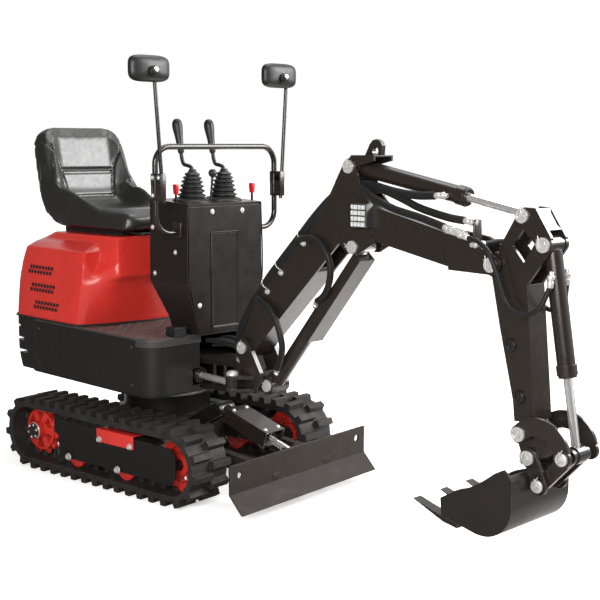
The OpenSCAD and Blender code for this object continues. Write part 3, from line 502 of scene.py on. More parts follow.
# Sprockets, idlers and rollers: cast and turned steel wheels sprayed in the machine's red. A black cap
# with a bright ring and a ring of bolts closes each sprocket's hub.
dress(machine_red, "sprockets", "idlers", "rollers")
gloss_black = sprayed_paint("gloss_black_paint", (0.012, 0.011, 0.010), 0.22, (0.08, 0.07, 0.06), 0.05, 0.3)
hub_face = 400.2
hub_spots = [under_house @ facing(at(-axle_gap / 2, side * hub_face, axle_height), (0, side, 0))
             for side in sides]
cap = grow("hub_cap", 36, [(36, 8), (33, 11), (24, 12), (22, 17), (15, 20), (6, 21)], 40)
fitted(set_out(cap, hub_spots, "sprocket_hub_caps"), "undercarriage", gloss_black, "black_paint")
ring = grow("hub_ring", 38.5, [(38.5, 3), (37, 4.5)], 40)
fitted(set_out(ring, hub_spots, "sprocket_hub_rings"), "undercarriage", zinced, "bright_steel")
bolt_spots = [spot @ Matrix.Rotation(math.radians(60 * i + 15), 4, "Z") @ Matrix.Translation(at(29, 0, 11))
              for spot in hub_spots for i in range(6)]
fitted(set_out(hex_bolt(8), bolt_spots, "sprocket_hub_bolts"), "undercarriage", zinced, "bright_steel")

# Bright steel: hard-chromed cylinder rods, ground and polished, that slide in their barrels.
# The pins and the slew bearing are turned from plain bar and ring, and zinc-plated.
chromed = plated_steel("chromed_rod", (0.84, 0.82, 0.81), 0.05, 0.14, 0.78)
dress(chromed, "boom_cyl_rod", "arm_cyl_rod", "bucket_cyl_rod", "swing_cyl_rod", "blade_cyl_rod")
dress(zinced, "bracket_pins", "boom_pins", "arm_pins", "slew_bearing")

# Dozer blade: folded plate on two arms, sprayed in a warm dark grey that has worn along the cutting edge.
# A folded cover with four screws shields its cylinder.
blade_paint = sprayed_paint("blade_paint", (0.021, 0.016, 0.013), 0.62, (0.16, 0.14, 0.12), 0.08, 0.0, 0.15)
dress(blade_paint, "blade")
cover_rear, cover_front = (352, 318), (756, 190)
cover_lift = math.atan2(cover_front[1] - cover_rear[1], cover_front[0] - cover_rear[0])
cover_start = Matrix.Translation(at(cover_rear[0], 0, cover_rear[1]))
cover = under_house @ cover_start @ Matrix.Rotation(-cover_lift, 4, "Y")
screw_spots = [cover @ facing(at(x, y, 46.2), (0, 0, 1)) for x in (95, 285) for y in (-40, 40)]
fitted(set_out(dome_bolt(7), screw_spots, "blade_cover_screws"), "blade_cyl_barrel", zinced, "bright_steel")

# House: a dark textured counterweight and skirt round the deck, bolted on, with the engine behind it.
# Dome bolts hold the skirt panels near their ends.
skirt_paint = sprayed_paint("skirt_textured_paint", (0.011, 0.009, 0.008), 0.4, (0.08, 0.07, 0.06), 0.04,
                            0.05, 0.3, 0.3, 0.5, 0.3)
dress(skirt_paint, "counterweight", "skirt", "engine")
house_half, floor_height = 380, 672
skirt_bolts = [(x, side * house_half, z, side) for side in sides for x in (-460, 250) for z in (470, 630)]
spots = [facing(at(x, y, z), (0, side, 0)) for x, y, z, side in skirt_bolts]
fitted(set_out(dome_bolt(7), spots, "skirt_bolts"), "upper", gloss_black, "black_paint")

# Footboard: rolled tread plate with a folded front lip, painted. Its raised lozenges stand at right angles
# to their neighbours and are worn bright at the top.
tread_paint = sprayed_paint("tread_plate_paint", (0.034, 0.032, 0.030), 0.36, (0.30, 0.28, 0.26),
                            0.25, 0.15, 0.4, 0.22, 0.42)
dress(tread_paint, "footboard")
lozenge_top = 2.4
lozenge = block("lozenge", (-15, -4.5, -0.5), (15, 4.5, lozenge_top))
choose(lozenge, lambda middle, normal: normal.z > 0.5)
bpy.ops.transform.resize(value=(0.6, 0.5, 1), center_override=at(0, 0, lozenge_top))
bpy.ops.object.mode_set(mode="OBJECT")
tread_pitch, board_front, board_rear, board_half = 27, 372, -60, 366
console_rear, console_front, console_half = 236, 424, 160
corner_middle, corner_reach = 285, 78
spots = []
for row in range(16):
    for line in range(-13, 14):
        x, y = board_front - 16 - row * tread_pitch, line * tread_pitch
        under_console = console_rear < x < console_front and abs(y) < console_half
        corner = math.hypot(max(0, x - corner_middle), max(0, abs(y) - corner_middle)) > corner_reach
        if x > board_rear and not under_console and not corner and abs(y) < board_half:
            lean = math.radians(45 if (row + line) % 2 else -45)
            spots.append(Matrix.Translation(at(x, y, floor_height)) @ Matrix.Rotation(lean, 4, "Z"))
fitted(set_out(lozenge, spots, "tread_lozenges"), "upper", tread_paint, "grey_paint")

# Hood: one pressed and moulded cover over the engine in the machine's red, with rounded edges and scooped
# front corners, clipped down on a black rubber seal. Three groups of holes in its right side let air out.
hood_node = frame["nodes"]["hood"]
hood_levels = [672.3, 825, 866, 894, 950, 1000, 1025, 1035, 1066]
hood_middle = Vector((-350 * mm, 0))


def hood_ring(height):
    """The corners of the hood's outline at one height, in order round it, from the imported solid."""
    found = {}
    for corner in hood_node.data.vertices:
        x, y, z = corner.co
        engine_bay = abs(y) < 0.3105 and -0.601 < x < -0.169 and z < 0.98
        seat_bay = abs(y) < 0.2255 and -0.511 < x < -0.069 and z < 1.06
        if abs(z - height * mm) < 1e-4 and not engine_bay and not seat_bay:
            found[round(x, 4), round(y, 4)] = corner.co.copy()
    return sorted(found.values(), key=lambda co: math.atan2(co.y, co.x - hood_middle.x))


rings = []
for height in hood_levels:
    corners = hood_ring(height)
    ring = fresh("circle", "hood_ring", vertices=len(corners), radius=0.1)
    for point, corner in zip(ring.data.vertices, corners):
        point.co = corner
    rings.append(ring)
counts = [len(ring.data.vertices) for ring in rings]
hood = joined("engine_hood", *rings)
for level in range(len(counts) - 1):
    bpy.ops.object.mode_set(mode="EDIT")
    bpy.ops.mesh.select_mode(type="VERT")
    bpy.ops.mesh.select_all(action="DESELECT")
    bpy.ops.object.mode_set(mode="OBJECT")
    start = sum(counts[:level])
    for index in range(start, start + counts[level] + counts[level + 1]):
        hood.data.vertices[index].select = True
    bpy.ops.object.mode_set(mode="EDIT")
    bpy.ops.mesh.select_mode(type="EDGE")
    bpy.ops.mesh.bridge_edge_loops()
bpy.ops.mesh.select_mode(type="VERT")
bpy.ops.mesh.select_all(action="DESELECT")
bpy.ops.object.mode_set(mode="OBJECT")
for index in range(sum(counts[:-1]), sum(counts)):
    hood.data.vertices[index].select = True
bpy.ops.object.mode_set(mode="EDIT")
bpy.ops.mesh.edge_face_add()
bpy.ops.mesh.inset(thickness=14 * mm)
bpy.ops.mesh.inset(thickness=30 * mm)
bpy.ops.mesh.select_all(action="SELECT")
bpy.ops.mesh.normals_make_consistent(inside=False)
bpy.ops.mesh.select_all(action="DESELECT")
bpy.ops.mesh.select_mode(type="EDGE")
bpy.ops.mesh.edges_select_sharp(sharpness=math.radians(20))
bpy.ops.transform.edge_crease(value=0.5)
applied(hood, "SUBSURF", levels=3, render_levels=3)
applied(hood, "SOLIDIFY", thickness=4 * mm, offset=-1.0)
dress(machine_red, "hood")
fitted(hood, "upper", machine_red, "red_paint", "hood")


def on_skin(piece, start, way):
    """The point where a line from start meets a piece, and the outward normal there."""
    return piece.ray_cast(start, Vector(way))[1:3]


# Each vent hole is a shallow near-black cup on the hood skin: painted shade for the dark inside of the hole.
hole = grow("vent_hole", 9.6, [(9.6, 0.4), (8.6, 0.5), (8.4, -2.5)], 16)
shadow_black, shadow_tree, shadow_shader, shadow_place = new_finish("vent_shadow", Roughness=0.9)
shade = mixed(shadow_tree, noise(shadow_tree, shadow_place, 90.0, 3.0),
              (0.004, 0.003, 0.003, 1), (0.010, 0.008, 0.008, 1))
shadow_tree.links.new(shade, shadow_shader.inputs["Base Color"])
vent_groups = ((-451, 900), (-427, 819), (-395, 740))
holes_in_line, hole_pitch, line_gap, line_shift, hole_lift = 8, 25, 11, 6, 1.2
spots = []
for middle_x, middle_z in vent_groups:
    for line in sides:
        for step in range(holes_in_line):
            x = middle_x + (step - (holes_in_line - 1) / 2) * hole_pitch + line * line_shift
            point, normal = on_skin(hood, at(x, -600, middle_z + line * line_gap), (0, 1, 0))
            spots.append(facing(point + normal * hole_lift * mm, normal))
fitted(set_out(hole, spots, "hood_vent_holes"), "upper", shadow_black, "black_plastic")

seal = fresh("circle", "hood_seal", vertices=counts[0], radius=0.1)
seal_middle, seal_spread = Vector((hood_middle.x, 0, 0)), 1.008
for point, corner in zip(seal.data.vertices, hood_ring(hood_levels[0])):
    point.co = (corner - seal_middle) * seal_spread + seal_middle
    point.co.z = (floor_height + 1) * mm
bpy.ops.object.mode_set(mode="EDIT")
bpy.ops.mesh.select_all(action="SELECT")
bpy.ops.mesh.extrude_region_move(TRANSFORM_OT_translate={"value": (0, 0, 7 * mm)})
applied(seal, "SOLIDIFY", thickness=8 * mm, offset=0.0)
softened(seal, 2.0, 2, 60)
rubber_black = sprayed_paint("seal_rubber", (0.010, 0.010, 0.010), 0.55, (0.04, 0.04, 0.04), 0.05, 0.0)
fitted(seal, "upper", rubber_black, "rubber")

# Seat: a one-piece bucket seat of black vinyl over moulded foam, with a round-topped back, side bolsters
# that run down into the cushion, and a sewn centre panel. It is bolted to two slide rails on the hood.
seat_black = sprayed_paint("seat_frame_black", (0.010, 0.010, 0.010), 0.35, (0.05, 0.05, 0.05), 0.0, 0.1)
dress(seat_black, "seat_base")
seat_stations = [  # forward, up, tilt of the surface's normal, depth, half width, bolster
    (14, 1126, 90, 26, 150, 0), (8, 1152, 90, 52, 186, 0), (-10, 1170, 90, 72, 212, 0),
    (-52, 1178, 90, 82, 226, 0), (-120, 1177, 90, 82, 236, 0), (-220, 1171, 90, 77, 240, 10),
    (-330, 1165, 89, 72, 243, 46), (-425, 1163, 82, 71, 244, 92), (-506, 1172, 66, 72, 245, 112),
    (-560, 1204, 42, 72, 246, 106), (-590, 1262, 22, 70, 248, 84), (-607, 1340, 13, 66, 250, 60),
    (-623, 1420, 12, 62, 250, 42), (-639, 1488, 12, 56, 244, 28), (-651, 1530, 14, 46, 226, 14),
    (-662, 1552, 20, 32, 196, 5), (-673, 1561, 30, 14, 150, 0)]
across_steps, sitting_share = 40, 0.72


def seat_section(fraction, depth, half, bolster):
    """Sideways and outward place of a point round one cross-section; the first part is the sitting face."""
    if fraction < sitting_share:
        side = 2 * fraction / sitting_share - 1
        far = abs(side)
        rise = bolster * (0.5 - 0.5 * math.cos(math.pi * min(1, max(0, far - 0.52) / 0.34)))
        curl = min(1.0, max(0.0, (far - 0.82) / 0.18))
        fall = (depth + bolster) * (1 - math.sqrt(1 - curl * curl))
        return half * side * (1.06 - 0.06 * far), rise - fall
    side = 1 - 2 * (fraction - sitting_share) / (1 - sitting_share)
    return half * 0.93 * side, -depth


pad = fresh("grid", "bucket_seat", x_subdivisions=across_steps, y_subdivisions=len(seat_stations) - 1,
            size=1.0)
for index, point in enumerate(pad.data.vertices):
    row, step = divmod(index, across_steps + 1)
    x, z, tilt, depth, half, bolster = seat_stations[row]
    sideways, outward = seat_section(step / across_steps % 1.0, depth, half, bolster)
    lean = math.radians(tilt)
    point.co = at(x + outward * math.cos(lean), sideways, z + outward * math.sin(lean))
bpy.ops.object.mode_set(mode="EDIT")
bpy.ops.mesh.select_all(action="SELECT")
bpy.ops.mesh.remove_doubles(threshold=0.1 * mm)
bpy.ops.mesh.select_all(action="DESELECT")
bpy.ops.mesh.select_mode(type="EDGE")
bpy.ops.mesh.select_non_manifold()
bpy.ops.mesh.fill()
bpy.ops.mesh.select_all(action="SELECT")
bpy.ops.mesh.normals_make_consistent(inside=False)
applied(pad, "REMESH", mode="VOXEL", voxel_size=9 * mm)
applied(pad, "SMOOTH", factor=0.5, iterations=8)


def stuffed(pad, pressure, most):
    """Fills a pad by a short cloth simulation; no point moves further than the most, in millimetres."""
    before = [point.co.copy() for point in pad.data.vertices]
    cloth = pad.modifiers.new("stuffing", "CLOTH")
    cloth.settings.use_pressure = True
    cloth.settings.uniform_pressure_force = pressure
    cloth.settings.quality = 3
    cloth.settings.effector_weights.gravity = 0.0
    cloth.point_cache.frame_start, cloth.point_cache.frame_end = 1, 20
    for moment in range(1, 21):
        bpy.context.scene.frame_set(moment)
    bpy.context.view_layer.objects.active = pad
    bpy.ops.object.modifier_apply(modifier=cloth.name)
    bpy.context.scene.frame_set(1)
    for point, old in zip(pad.data.vertices, before):
        shift = point.co - old
        if shift.length > most * mm:
            point.co = old + shift.normalized() * most * mm


pad_pressure, pad_swell = 4.0, 9
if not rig.quick():
    stuffed(pad, pad_pressure, pad_swell)
applied(pad, "SUBSURF", levels=1, render_levels=1)


def channel(distance, width=6.5):
    return math.exp(-(distance / width) ** 2)


panel_foot, panel_top, panel_seams = 1222, 1522, (1226, 1338, 1352)
channel_depth, seat_fold, panel_flare, back_skin = 8, 1205, 1345, -676
for point in pad.data.vertices:
    x, y, z = point.co / mm
    if point.normal.x < 0.2 or z < seat_fold or x < back_skin:
        continue
    edge = 126 + 0.16 * (z - panel_foot) + 0.0028 * max(0.0, z - panel_flare) ** 2
    depth = channel_depth * channel(abs(y) - edge) if panel_foot < z < panel_top else 0.0
    if abs(y) < edge:
        depth = max([depth] + [channel_depth * channel(z - seam) for seam in panel_seams])
    point.co -= point.normal * depth * mm


def vinyl(name):
    finish, tree, shader, place = new_finish(name, Specular_IOR_Level=0.5, Coat_Weight=0.35,
                                             Coat_Roughness=0.28)
    tone = mixed(tree, noise(tree, place, 9.0, 4.0), (0.009, 0.0085, 0.008, 1), (0.016, 0.015, 0.0145, 1))
    tree.links.new(tone, shader.inputs["Base Color"])
    sheen = ramped(tree, noise(tree, place, 40.0, 5.0), 0.3, 0.7, 0.34, 0.44)
    tree.links.new(sheen, shader.inputs["Roughness"])
    cells = wire(tree, "ShaderNodeTexVoronoi", {"Vector": place, "Scale": 480.0}).outputs["Distance"]
    bump = wire(tree, "ShaderNodeBump", {"Strength": 0.22, "Distance": 0.0005, "Height": cells})
    tree.links.new(bump.outputs["Normal"], shader.inputs["Normal"])
    return finish


seat_vinyl = vinyl("seat_vinyl_black")
dress(seat_vinyl, "seat_cushion", "seat_back")
fitted(pad, "upper", seat_vinyl, "seat_vinyl", "seat_cushion", "seat_back")
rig.padded(pad, fill=0.8)


def smooth_route(points, steps=8):
    """A rounded line through the points, in metres."""
    ends = [points[0] * 2 - points[1]] + list(points) + [points[-1] * 2 - points[-2]]
    route = []
    for a, b, c, d in zip(ends, ends[1:], ends[2:], ends[3:]):
        for step in range(steps):
            t = step / steps
            route.append(0.5 * (2 * b + (c - a) * t + (2 * a - 5 * b + 4 * c - d) * t * t
                                + (3 * b - a - 3 * c + d) * t ** 3))
    return route + [points[-1]]


def bent_bar(name, points, radius, roundness=3):
    """A round bar bent along a rounded line: a curve with a bevel, made a mesh."""
    route = smooth_route([at(*point) for point in points])
    line = bpy.data.curves.new(name, "CURVE")
    line.dimensions = "3D"
    line.bevel_depth = radius * mm
    line.bevel_resolution = roundness
    line.use_fill_caps = True
    spline = line.splines.new("POLY")
    spline.points.add(len(route) - 1)
    for knot, place in zip(spline.points, route):
        knot.co = (*place, 1.0)
    bar = bpy.data.objects.new(name, line)
    bpy.context.scene.collection.objects.link(bar)
    bpy.ops.object.select_all(action="DESELECT")
    bar.select_set(True)
    bpy.context.view_layer.objects.active = bar
    bpy.ops.object.convert(target="MESH")
    return bpy.context.object, route


slide_bars = [[(-560, y, 1084), (-300, y, 1084), (-60, y, 1082), (-30, y * 0.97, 1080)]
              for y in (-150, 150)]
handle = [(-30, -150, 1080), (16, -140, 1078), (24, -100, 1078), (24, 0, 1078), (24, 100, 1078),
          (16, 140, 1078), (-30, 150, 1080)]
bars = [bent_bar("slide_bar", route, 6)[0] for route in slide_bars + [handle]]
fitted(joined("seat_slide_bars", *bars), "upper", seat_black, "seat_frame")

# Console: a folded sheet-steel pedestal in brown-black paint, with a pressed front panel that has a raised
# long field, and dome bolts along its top edge and down both sides.
boom_paint = sprayed_paint("brown_black_paint", (0.017, 0.0125, 0.0095), 0.27, (0.10, 0.085, 0.075),
                           0.04, 0.18, 0.38)
# The console, its field and its edge folds take a darker, less shiny copy of the brown-black paint: painted shade.
console_shaded_paint = sprayed_paint("console_shaded_paint", (0.011, 0.0085, 0.007), 0.3, (0.10, 0.085, 0.075),
                              0.02, 0.12, 0.28)
dress(console_shaded_paint, "console", "console_panel")
panel_face = 420.2
field = block("console_field", (panel_face - 2, -87, 696), (panel_face + 5, 69, 1106))
softened(field, 4.0, 3)
choose(field, lambda middle, normal: normal.x > 0.9 and middle.x > panel_face + 4)
bpy.ops.mesh.inset(thickness=9 * mm)
bpy.ops.transform.translate(value=at(-4, 0, 0))
fitted(field, "upper", console_shaded_paint, "black_paint")
front_bolts = [(-76, 1190), (91, 1190), (-150, 800), (150, 800)]
side_bolts = [(335, 205.5, 1135), (335, 206, 1098), (335, 207, 1022), (180, 205.5, 1120), (196, 209, 925)]
spots = [facing(at(panel_face, y, z), (1, 0, 0)) for y, z in front_bolts]
spots += [facing(at(x, side * y, z), (0, side, 0)) for side in sides for x, y, z in side_bolts]
fitted(set_out(dome_bolt(8), spots, "console_bolts"), "upper", zinced, "bright_steel")
edge_bars = [bent_bar("console_edge", [(panel_face - 3, side * 148, 690), (panel_face - 3, side * 208, 892),
                                       (panel_face - 3, side * 203, 1222)], 3)[0] for side in sides]
fitted(joined("console_edge_folds", *edge_bars), "upper", console_shaded_paint, "black_paint")

# Controls: two rubber bellows on moulded bases, bent lever rods with moulded grips, a small ball lever
# between them and two flat levers with red knobs.
moulded_black = sprayed_paint("moulded_black", (0.011, 0.011, 0.011), 0.42, (0.05, 0.05, 0.05),
                              0.03, 0.0, 0.4)
dress(moulded_black, "lever_boots", "levers", "pedals", "mirrors")
lever_sides, boot_lean = (-88, 88), 3.2
boot_base = [(82, 4), (76, 10), (62, 15), (48, 19)]
boot_folds = [(60, 24), (60, 28), (44, 36), (56, 45), (56, 48), (40, 56), (51, 64), (51, 67), (36, 74),
              (46, 82), (46, 85), (32, 91), (40, 98), (40, 101), (27, 107), (33, 113), (33, 116), (21, 122),
              (17, 128), (14, 136)]
boot = grow("bellows", 82, boot_base + boot_folds, 40)
softened(boot, 1.2, 2, 25)
boot_spots = [Matrix.Translation(at(300, y, 1230)) @ Matrix.Rotation(math.radians(boot_lean), 4, "Y")
              for y in lever_sides]
fitted(set_out(boot, boot_spots, "lever_bellows"), "upper", moulded_black, "rubber", "lever_boots")
stalk_line = [(306, 1352), (300, 1372), (278, 1380), (250, 1386), (238, 1410), (232, 1440)]
stalks = [bent_bar("lever_stalk", [(x, y, z) for x, z in stalk_line], 8)[0] for y in lever_sides]
grip_steps = [(14, 10), (15, 40), (17, 70), (21, 96), (23, 116), (22, 132), (16, 144), (7, 149)]
grip = grow("lever_grip", 12, grip_steps, 24)
softened(grip, 3, 2, 60)
applied(grip, "SUBSURF", levels=1, render_levels=1)
grips = set_out(grip, [facing(at(234, y, 1432), (-0.21, 0, 1)) for y in lever_sides], "lever_grips")
fitted(joined("control_levers", *stalks, grips), "upper", moulded_black, "black_plastic", "levers")
ball_stem = bent_bar("ball_lever", [(322, 0, 1228), (326, 0, 1280), (334, 0, 1336)], 5)[0]
ball = grow("lever_ball", 6, [(14, 6), (18, 16), (18, 22), (13, 31), (5, 35)], 24)
ball.matrix_world = facing(at(333, 0, 1330), (0.1, 0, 1))
fitted(joined("ball_lever", ball_stem, ball), "upper", moulded_black, "black_plastic")
knob_red = sprayed_paint("red_knob_plastic", (0.46, 0.010, 0.012), 0.3, (0.5, 0.05, 0.05), 0.0, 0.2)
knob_top = 42
knob = block("red_knob", (-11, -7, 0), (11, 7, knob_top))
choose(knob, lambda middle, normal: normal.z > 0.5)
bpy.ops.transform.resize(value=(1.25, 1.25, 1), center_override=at(0, 0, knob_top))
softened(knob, 4, 3)
knob_spots = [Matrix.Translation(at(322, -190, 1262)), Matrix.Translation(at(396, 170, 1262))]
fitted(set_out(knob, knob_spots, "red_knobs"), "upper", knob_red, "red_paint")
tongue = block("knob_tongue", (-6, -2.5, -34), (6, 2.5, 6))
softened(tongue, 1.5, 2)
fitted(set_out(tongue, knob_spots, "knob_tongues"), "upper", moulded_black, "black_plastic")

# Handrail and mirrors: bent tube in gloss paint, clamped to the console by plates with two bolts, and two
# thin poles clamped to it that carry mirrors in round-edged black shells.
tube_paint = sprayed_paint("tube_black_paint", (0.011, 0.0095, 0.009), 0.24, (0.02, 0.018, 0.016),
                           0.0, 0.3, 0.4, 0.7, 0.95, 0.04)
dress(tube_paint, "handrail", "mirror_poles")
rail_half, clamp_half, foot_half = 330, 14, 212
clamp_parts, foot_parts = [], []
for side in sides:
    rail = side * rail_half
    strap = block("rail_clamp", (352, rail - clamp_half, 1244), (420, rail + clamp_half, 1352))
    choose(strap, lambda middle, normal: abs(normal.y) > 0.5)
    bpy.ops.mesh.inset(thickness=10 * mm)
    bpy.ops.mesh.extrude_region_shrink_fatten(TRANSFORM_OT_shrink_fatten={"value": -6 * mm})
    softened(strap, 2.5, 2)
    clamp_parts.append(strap)
fitted(joined("rail_clamps", *clamp_parts), "upper", boom_paint, "black_paint")
clamp_bolts = ((366, 1336), (366, 1264), (406, 1336))
spots = [facing(at(x, side * (rail_half + clamp_half + 0.2), z), (0, side, 0))
         for side in sides for x, z in clamp_bolts]
fitted(set_out(dome_bolt(7), spots, "rail_clamp_bolts"), "upper", zinced, "bright_steel")
for side in sides:
    foot = block("rail_foot", (330, side * foot_half - 7, 1084), (386, side * foot_half + 7, 1150))
    softened(foot, 4, 3)
    foot_parts.append(foot)
fitted(joined("rail_feet", *foot_parts), "upper", boom_paint, "black_paint")


def round_cornered(piece, half_wide, half_high, reach):
    """Turns a disc of that reach into an outline with flat sides and round corners."""
    for point in piece.data.vertices:
        turn = math.atan2(point.co.y, point.co.x)
        reached = Vector((point.co.x, point.co.y)).length / (reach * mm)
        pull = (abs(math.cos(turn)) ** 4 + abs(math.sin(turn)) ** 4) ** -0.25
        point.co.x = reached * pull * half_wide * math.cos(turn) * mm
        point.co.y = reached * pull * half_high * math.sin(turn) * mm


shell_reach = 100
shell_steps = [(100, 3), (100, 12), (97, 20), (88, 28), (72, 34), (50, 38), (20, 40)]
shell = grow("mirror_shell", 94, shell_steps, 64)
round_cornered(shell, 97, 52, shell_reach)
mirror_sides = (-402, 300)
outward = Matrix(((0, 0, 1, 0), (1, 0, 0, 0), (0, 1, 0, 0), (0, 0, 0, 1)))
inward = Matrix(((0, 0, -1, 0), (-1, 0, 0, 0), (0, 1, 0, 0), (0, 0, 0, 1)))


def on_mirrors(x, z, turn):
    return [Matrix.Translation(at(x, y, z)) @ turn for y in mirror_sides]


shell_spots = on_mirrors(421, 1764, outward)
fitted(set_out(shell, shell_spots, "mirror_shells"), "upper", moulded_black, "black_plastic", "mirrors")
ball_mount = grow("ball_mount", 20, [(22, 3), (22, 12), (15, 15), (15, 20), (9, 24)], 24)
mount_spots = on_mirrors(458, 1752, outward)
fitted(set_out(ball_mount, mount_spots, "mirror_ball_mounts"), "upper", moulded_black, "black_plastic")
bolt_spots = on_mirrors(478, 1756, outward)
fitted(set_out(dome_bolt(9), bolt_spots, "mirror_mount_bolts"), "upper", zinced, "bright_steel")
glass = grow("mirror_glass", shell_reach, [(100, 1.6), (97, 2.4)], 64)
round_cornered(glass, 86, 42, shell_reach)
silvered = plated_steel("mirror_glass", (0.86, 0.87, 0.88), 0.02, 0.04)
glass_spots = on_mirrors(421, 1764, inward)
fitted(set_out(glass, glass_spots, "mirror_glass"), "upper", silvered, "chrome_rod")

# Boom, arm and cylinders: welded box sections and turned barrels in gloss brown-black paint.
# Pins are held by wire clips, and a domed cap closes the swing post.
dress(boom_paint, "swing_bracket", "boom", "arm", "lifting_eye", "rod_guard", "rocker", "bucket_link",
      "boom_cyl_barrel", "arm_cyl_barrel", "bucket_cyl_barrel", "swing_cyl_barrel", "blade_cyl_barrel")
clip_line = [(-6, 26, 4), (0, 20, 4), (5, 8, 4), (14, 0, 4), (5, -9, 4), (-9, -9, 4), (-14, 2, 4),
             (-6, 12, 4), (2, 24, 4), (8, 34, 4)]
clip_wire, clip_turn = 1.8, 40
pin_ends = {"boom": [(1180, 63.3, 1387), (1842, 77.3, 1070), (1210, 73.3, 1090)],
            "arm": [(1950, 58.3, 1238), (2034, 58.3, 1147), (1982, 96.3, 521), (2004, 73.8, 440)],
            "swing_bracket": [(602, 84.8, 635), (722, 55.3, 489)]}
for body, pins in pin_ends.items():
    clip = bent_bar("wire_clip", clip_line, clip_wire, 2)[0]
    spots = [facing(at(x, side * y, z), (0, side, 0)) @ Matrix.Rotation(math.radians(clip_turn * i), 4, "Z")
             for side in sides for i, (x, y, z) in enumerate(pins)]
    fitted(set_out(clip, spots, "pin_clips_" + body), body, zinced, "bright_steel")
rocker_pin = (2150, 467)
for body, (x, z), y in (("rocker", rocker_pin, 88), ("bucket", (2049, 354), 70)):
    clip = bent_bar("wire_clip", clip_line, clip_wire, 2)[0]
    cap = grow("link_pin_cap", 22, [(22, 7), (20, 8.5)], 28)
    head = joined("link_pin_head", cap, set_out(clip, [Matrix.Translation(at(0, 0, 8))], "link_pin_clip"))
    spots = [facing(at(x, side * y, z), (0, side, 0)) for side in sides]
    fitted(set_out(head, spots, "link_pins_" + body), body, zinced, "bright_steel")
drum = grow("rod_eye_drum", 27, [(30, 3), (30, 52), (27, 55)], 32)
drum_spot = facing(at(rocker_pin[0], -27.5, rocker_pin[1]), (0, 1, 0))
fitted(set_out(drum, [drum_spot], "bucket_rod_eye"), "bucket_cyl_rod", gloss_black, "black_paint")
swing_post = (588, -118)
drum = grow("rod_eye_drum", 26, [(29, 3), (29, 36), (26, 39)], 32)
drum_spot = Matrix.Translation(at(*swing_post, 470.5))
fitted(set_out(drum, [drum_spot], "swing_rod_eye"), "swing_cyl_rod", gloss_black, "black_paint")
swing_cap = grow("swing_pin_cap", 26, [(26, 6), (24, 12), (18, 17), (9, 20), (3, 21)], 32)
swing_cap.matrix_world = Matrix.Translation(at(*swing_post, 523.7))
fitted(swing_cap, "swing_bracket", zinced, "bright_steel")

guide_ring = grow("hose_guide", 24, [(24, 4), (20, 10), (14, 10.5), (12.5, 3)], 28)
spots = [facing(at(x, -49.5, z), (0, -1, 0)) for x, z in ((1917, 805), (1957, 636))]
fitted(set_out(guide_ring, spots, "arm_hose_guides"), "arm", gloss_black, "black_paint")
# A gloss black plate with a sunk field fills the arm head's open slot: a dark plate where there is only shade, painted
# shade.
head_high, head_low = Vector((1999, 0, 1264)), Vector((2046, 0, 1194))
head_way = (head_low - head_high).normalized()
cover = block("arm_head_slot_shade", (0, -50, -6), ((head_low - head_high).length, 50, 0))
choose(cover, lambda middle, normal: normal.z > 0.5)
bpy.ops.mesh.inset(thickness=22 * mm)
bpy.ops.transform.translate(value=at(0, 0, -5))
softened(cover, 2, 2)
head_lean = Matrix.Rotation(-math.atan2(head_way.z, head_way.x), 4, "Y")
cover.matrix_world = Matrix.Translation(head_high * mm) @ head_lean
fitted(joined("arm_head_slot_shade", cover), "arm", gloss_black, "black_paint")

# Work lamp: a square die-cast lamp bolted to the boom's right side, with sixteen light chips in four rows,
# each under a small moulded lens.
lamp_alloy = plated_steel("lamp_alloy", (0.22, 0.22, 0.22), 0.4, 0.55)
dress(lamp_alloy, "work_lamp")
chip = block("light_chip", (-7, -8, 0), (7, 8, 3))
choose(chip, lambda middle, normal: normal.z > 0.5)
bpy.ops.mesh.inset(thickness=2.2 * mm)
bpy.ops.transform.translate(value=at(0, 0, -1.6))
bpy.ops.object.mode_set(mode="OBJECT")
chip_white, chip_tree, chip_shader, chip_place = new_finish("light_chip_lens", Roughness=0.18,
                                                            Coat_Weight=0.6)
glow = mixed(chip_tree, noise(chip_tree, chip_place, 200.0, 2.0),
             (0.36, 0.36, 0.36, 1), (0.55, 0.55, 0.54, 1))
chip_tree.links.new(glow, chip_shader.inputs["Base Color"])
chip_pitch_x, chip_pitch_z, lens_face = 17.8, 21, -89.2
spots = [facing(at(1233 + chip_pitch_x * i, lens_face, 1178 + chip_pitch_z * j), (0, -1, 0))
         for i in range(4) for j in range(4)]
fitted(set_out(chip, spots, "lamp_chips"), "boom", chip_white, "lamp")

# Hoses: rubber hydraulic hose in woven sleeves, clamped along the boom, with crimped zinc ends screwed into
# the cylinders. A hose that crosses a joint bends with it.
def woven_sleeve(name):
    finish, tree, shader, place = new_finish(name, Specular_IOR_Level=0.25, Sheen_Weight=0.04)
    weave = wire(tree, "ShaderNodeTexVoronoi", {"Vector": place, "Scale": 300.0}).outputs["Distance"]
    tone = mixed(tree, weave, (0.004, 0.004, 0.004, 1), (0.012, 0.011, 0.011, 1))
    tree.links.new(tone, shader.inputs["Base Color"])
    sheen = ramped(tree, noise(tree, place, 60.0, 4.0), 0.3, 0.7, 0.42, 0.62)
    tree.links.new(sheen, shader.inputs["Roughness"])
    bump = wire(tree, "ShaderNodeBump", {"Strength": 0.4, "Distance": 0.0008, "Height": weave})
    tree.links.new(bump.outputs["Normal"], shader.inputs["Normal"])
    return finish


hose_black = woven_sleeve("hose_sleeve_black")


